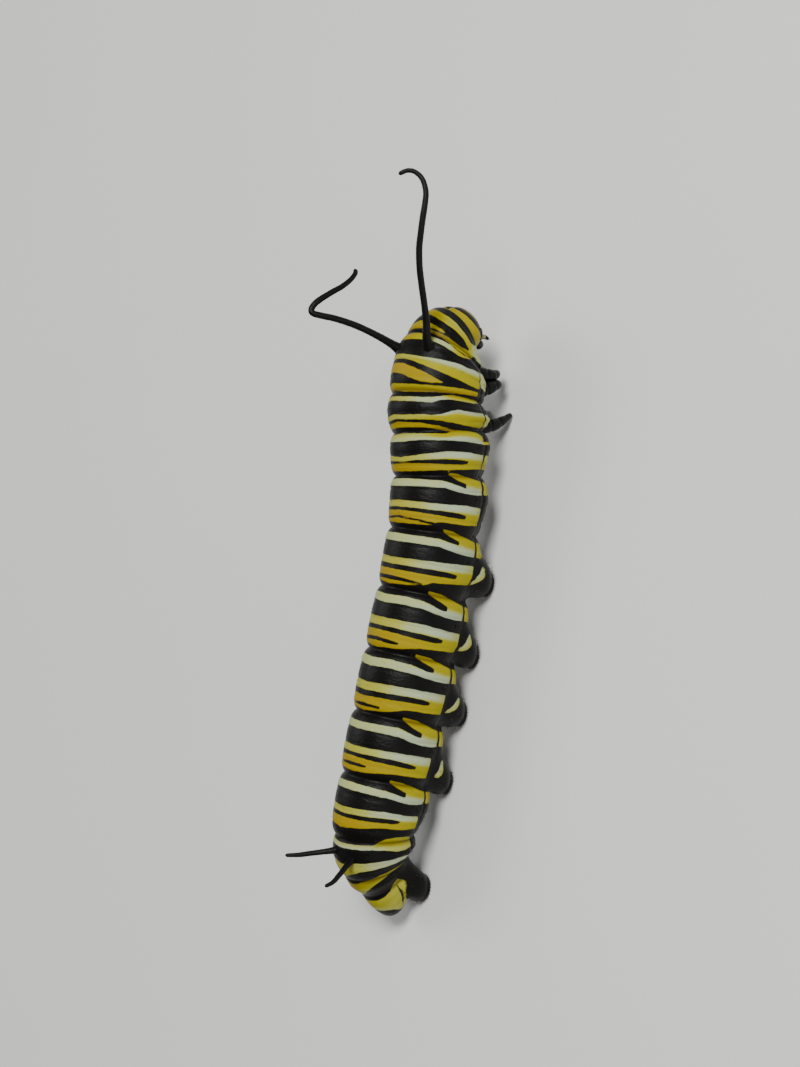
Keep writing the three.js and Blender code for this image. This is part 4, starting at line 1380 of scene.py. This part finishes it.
HAIRLESS_UP_TO = (0.35 * MM, 0.45 * MM)  # heights between which the hairs above the soles begin


def hair_rule():
    """Short tapered hairs that stand on a surface, denser and longer where its hairy value is 1."""
    rule = Rule("fine_hairs")
    rule.number("Hairs per square millimetre", 1.0)
    rule.number("More hairs on prolegs", 6.0)
    rule.number("Length", 0.3 * MM)
    rule.number("Thickness", 0.01 * MM)
    rule.number("Seed", SEED, "NodeSocketInt")
    rule.start()
    hairy = rule.attribute("hairy")
    density = rule.math("DIVIDE", rule.given("Hairs per square millimetre"), MM * MM)
    more = rule.ranged(hairy, 0.0, 1.0, 1.0, rule.given("More hairs on prolegs"))
    denser = rule.math("MULTIPLY", density, more)
    place = rule.node("GeometryNodeInputPosition")
    height = rule.node("ShaderNodeSeparateXYZ", values={0: place.outputs[0]}).outputs[2]
    above_soles = rule.ranged(height, *HAIRLESS_UP_TO, 0.0, 1.0)
    scattered = rule.node(
        "GeometryNodeDistributePointsOnFaces",
        values={
            "Mesh": rule.given("Geometry"),
            "Density": rule.math("MULTIPLY", denser, above_soles),
            "Seed": rule.given("Seed"),
        },
    )
    cone = rule.node(
        "GeometryNodeMeshCone",
        values={
            "Vertices": 5,
            "Radius Bottom": rule.given("Thickness"),
            "Radius Top": rule.math("MULTIPLY", rule.given("Thickness"), 0.2),
            "Depth": rule.given("Length"),
        },
    )
    limits = {2: 0.6, 3: 1.25, "Seed": rule.given("Seed")}
    size = rule.node("FunctionNodeRandomValue", {"data_type": "FLOAT"}, limits)
    longer = rule.ranged(hairy, 0.0, 1.0, 1.0, 1.7)
    placed_hairs = rule.node(
        "GeometryNodeInstanceOnPoints",
        values={
            "Points": scattered.outputs["Points"],
            "Instance": cone.outputs["Mesh"],
            "Rotation": scattered.outputs["Rotation"],
            "Scale": rule.math("MULTIPLY", size.outputs[1], longer),
        },
    )
    rule.end(placed_hairs.outputs[0], HAIR)
    return rule


hairs = hair_rule().apply(
    "fine_hairs",
    skin,
    {"Hairs per square millimetre": 0.6, "Length": 0.15 * MM, "Thickness": 0.012 * MM, "Seed": SEED},
)
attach(hairs, "root")


def marker_object(name, places, directions):
    """Loose points, each with the direction that the piece put there points in."""
    mesh = bpy.data.meshes.new(name)
    mesh.from_pydata(placed(places).tolist(), [], [])
    toward = mesh.attributes.new("toward", "FLOAT_VECTOR", "POINT")
    toward.data.foreach_set("vector", turned(directions).astype(np.float32).ravel())
    return bpy.data.objects.new(name, mesh)


def pieces_at_markers(rule, piece):
    """Puts the piece at each marker, with its own Z along the marker's direction."""
    markers = rule.node("GeometryNodeMeshToPoints", values={"Mesh": rule.given("Geometry")})
    toward = rule.attribute("toward", "FLOAT_VECTOR")
    rotation = rule.node("FunctionNodeAlignRotationToVector", {"axis": "Z"}, {"Vector": toward})
    return rule.node(
        "GeometryNodeInstanceOnPoints",
        values={"Points": markers.outputs[0], "Instance": piece, "Rotation": rotation.outputs[0]},
    )


def hook_rule():
    """A tapered hook at each marker, for the soles of the prolegs."""
    rule = Rule("proleg_hooks")
    rule.number("Length", 0.16 * MM)
    rule.number("Thickness", 0.025 * MM)
    rule.start()
    cone = rule.node(
        "GeometryNodeMeshCone",
        values={
            "Vertices": 7,
            "Radius Bottom": rule.given("Thickness"),
            "Radius Top": 0.004 * MM,
            "Depth": rule.given("Length"),
        },
    )
    rule.end(pieces_at_markers(rule, cone.outputs["Mesh"]).outputs[0], HORN)
    return rule


def breathing_hole_rule():
    """A raised oval rim at each marker."""
    rule = Rule("breathing_holes")
    rule.number("Rim radius", 0.15 * MM)
    rule.number("Rim thickness", 0.035 * MM)
    rule.start()
    circles = []
    for corners, radius in ((24, "Rim radius"), (8, "Rim thickness")):
        values = {"Resolution": corners, "Radius": rule.given(radius)}
        circles.append(rule.node("GeometryNodeCurvePrimitiveCircle", values=values).outputs[0])
    rim = rule.node("GeometryNodeCurveToMesh", values={"Curve": circles[0], "Profile Curve": circles[1]})
    rule.end(pieces_at_markers(rule, rim.outputs[0]).outputs[0], SOFT_BLACK)
    return rule


HOOKS_PER_LEG = 26
HOOK_HEIGHT = 0.13


def hook_markers():
    """Places round the edge of each sole, and directions that lean out and down."""
    places, directions = [], []
    for leg in prolegs:
        width = leg["profile"][1][1]
        rise = HOOK_HEIGHT / LEG_TOP
        for n in range(HOOKS_PER_LEG):
            turn = 2 * math.pi * (n + 0.5) / HOOKS_PER_LEG
            ahead, across = math.cos(turn), leg["side"] * math.sin(turn)
            forward = leg["forward"] - leg["slant"] * (1 - rise) + LENGTHENING * width * ahead
            right = leg["right"] + width * across + leg["side"] * leg["lean"] * rise
            places.append((forward, right, HOOK_HEIGHT))
            directions.append((ahead, across, -0.75))
    return marker_object("hook_places", places, directions)


HOLE_TURN = 107  # degrees from the middle of the back
HOLE_PLACES = [0.95] + [FIRST_ABDOMINAL + n + 0.4 for n in range(8)]


def breathing_hole_markers():
    """Places low on both flanks of the first segment and of the first eight abdominal ones."""
    places, directions = [], []
    for place in map(np.array, HOLE_PLACES):
        for side in (RIGHT, LEFT):
            point = skin_points(place, np.array(math.radians(side * HOLE_TURN)))
            places.append(point)
            directions.append(point - body_frame(place)[0])
    return marker_object("breathing_hole_places", places, directions)


hooks = hook_rule().apply("proleg_hooks", hook_markers(), {"Length": 0.15 * MM, "Thickness": 0.03 * MM})
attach(hooks, "root")

holes = breathing_hole_rule().apply("breathing_holes", breathing_hole_markers(), {"Rim radius": 0.14 * MM})
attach(holes, "root")


# Floor and light


FLOOR_REACH = 1.2  # metres from its middle to its edges
FLOOR_COLORS = ((0.74, 0.74, 0.72), (0.78, 0.78, 0.765))


def add_floor():
    mesh = bpy.data.meshes.new("floor")
    corners = [(x * FLOOR_REACH, y * FLOOR_REACH, 0) for x, y in ((-1, -1), (1, -1), (1, 1), (-1, 1))]
    mesh.from_pydata(corners, [], [(0, 1, 2, 3)])
    finish = Finish("pale_floor")
    grain = finish.noise(0.02, 2.0)
    finish.paint(color=finish.mix(grain, *FLOOR_COLORS), roughness=0.7)
    mesh.materials.append(finish.material)
    floor = bpy.data.objects.new("floor", mesh)
    bpy.context.scene.collection.objects.link(floor)


def add_light(name, toward, distance, size, power):
    """A soft area light, its direction given as forward, right and up, and its distance in metres."""
    data = bpy.data.lights.new(name, "AREA")
    data.shape = "DISK"
    data.size = size
    data.energy = power
    lamp = bpy.data.objects.new(name, data)
    direction = Vector(turned(toward)).normalized()
    lamp.location = Vector(placed((0, 0, 4))) + direction * distance
    lamp.rotation_euler = direction.to_track_quat("Z", "Y").to_euler()
    bpy.context.scene.collection.objects.link(lamp)


add_floor()
add_light("key_light", (0.45, 0.55, 1.0), 0.45, 0.16, 2.2)
add_light("fill_light", (-0.3, 1.0, 0.5), 0.5, 0.3, 0.4)
add_light("back_light", (0.1, -0.9, 0.8), 0.5, 0.25, 0.7)

WORLD_STRENGTH = 0.17
world = bpy.data.worlds.new("studio")
world.use_nodes = True
background = world.node_tree.nodes["Background"]
background.inputs["Color"].default_value = (1, 1, 1, 1)
background.inputs["Strength"].default_value = WORLD_STRENGTH
bpy.context.scene.world = world
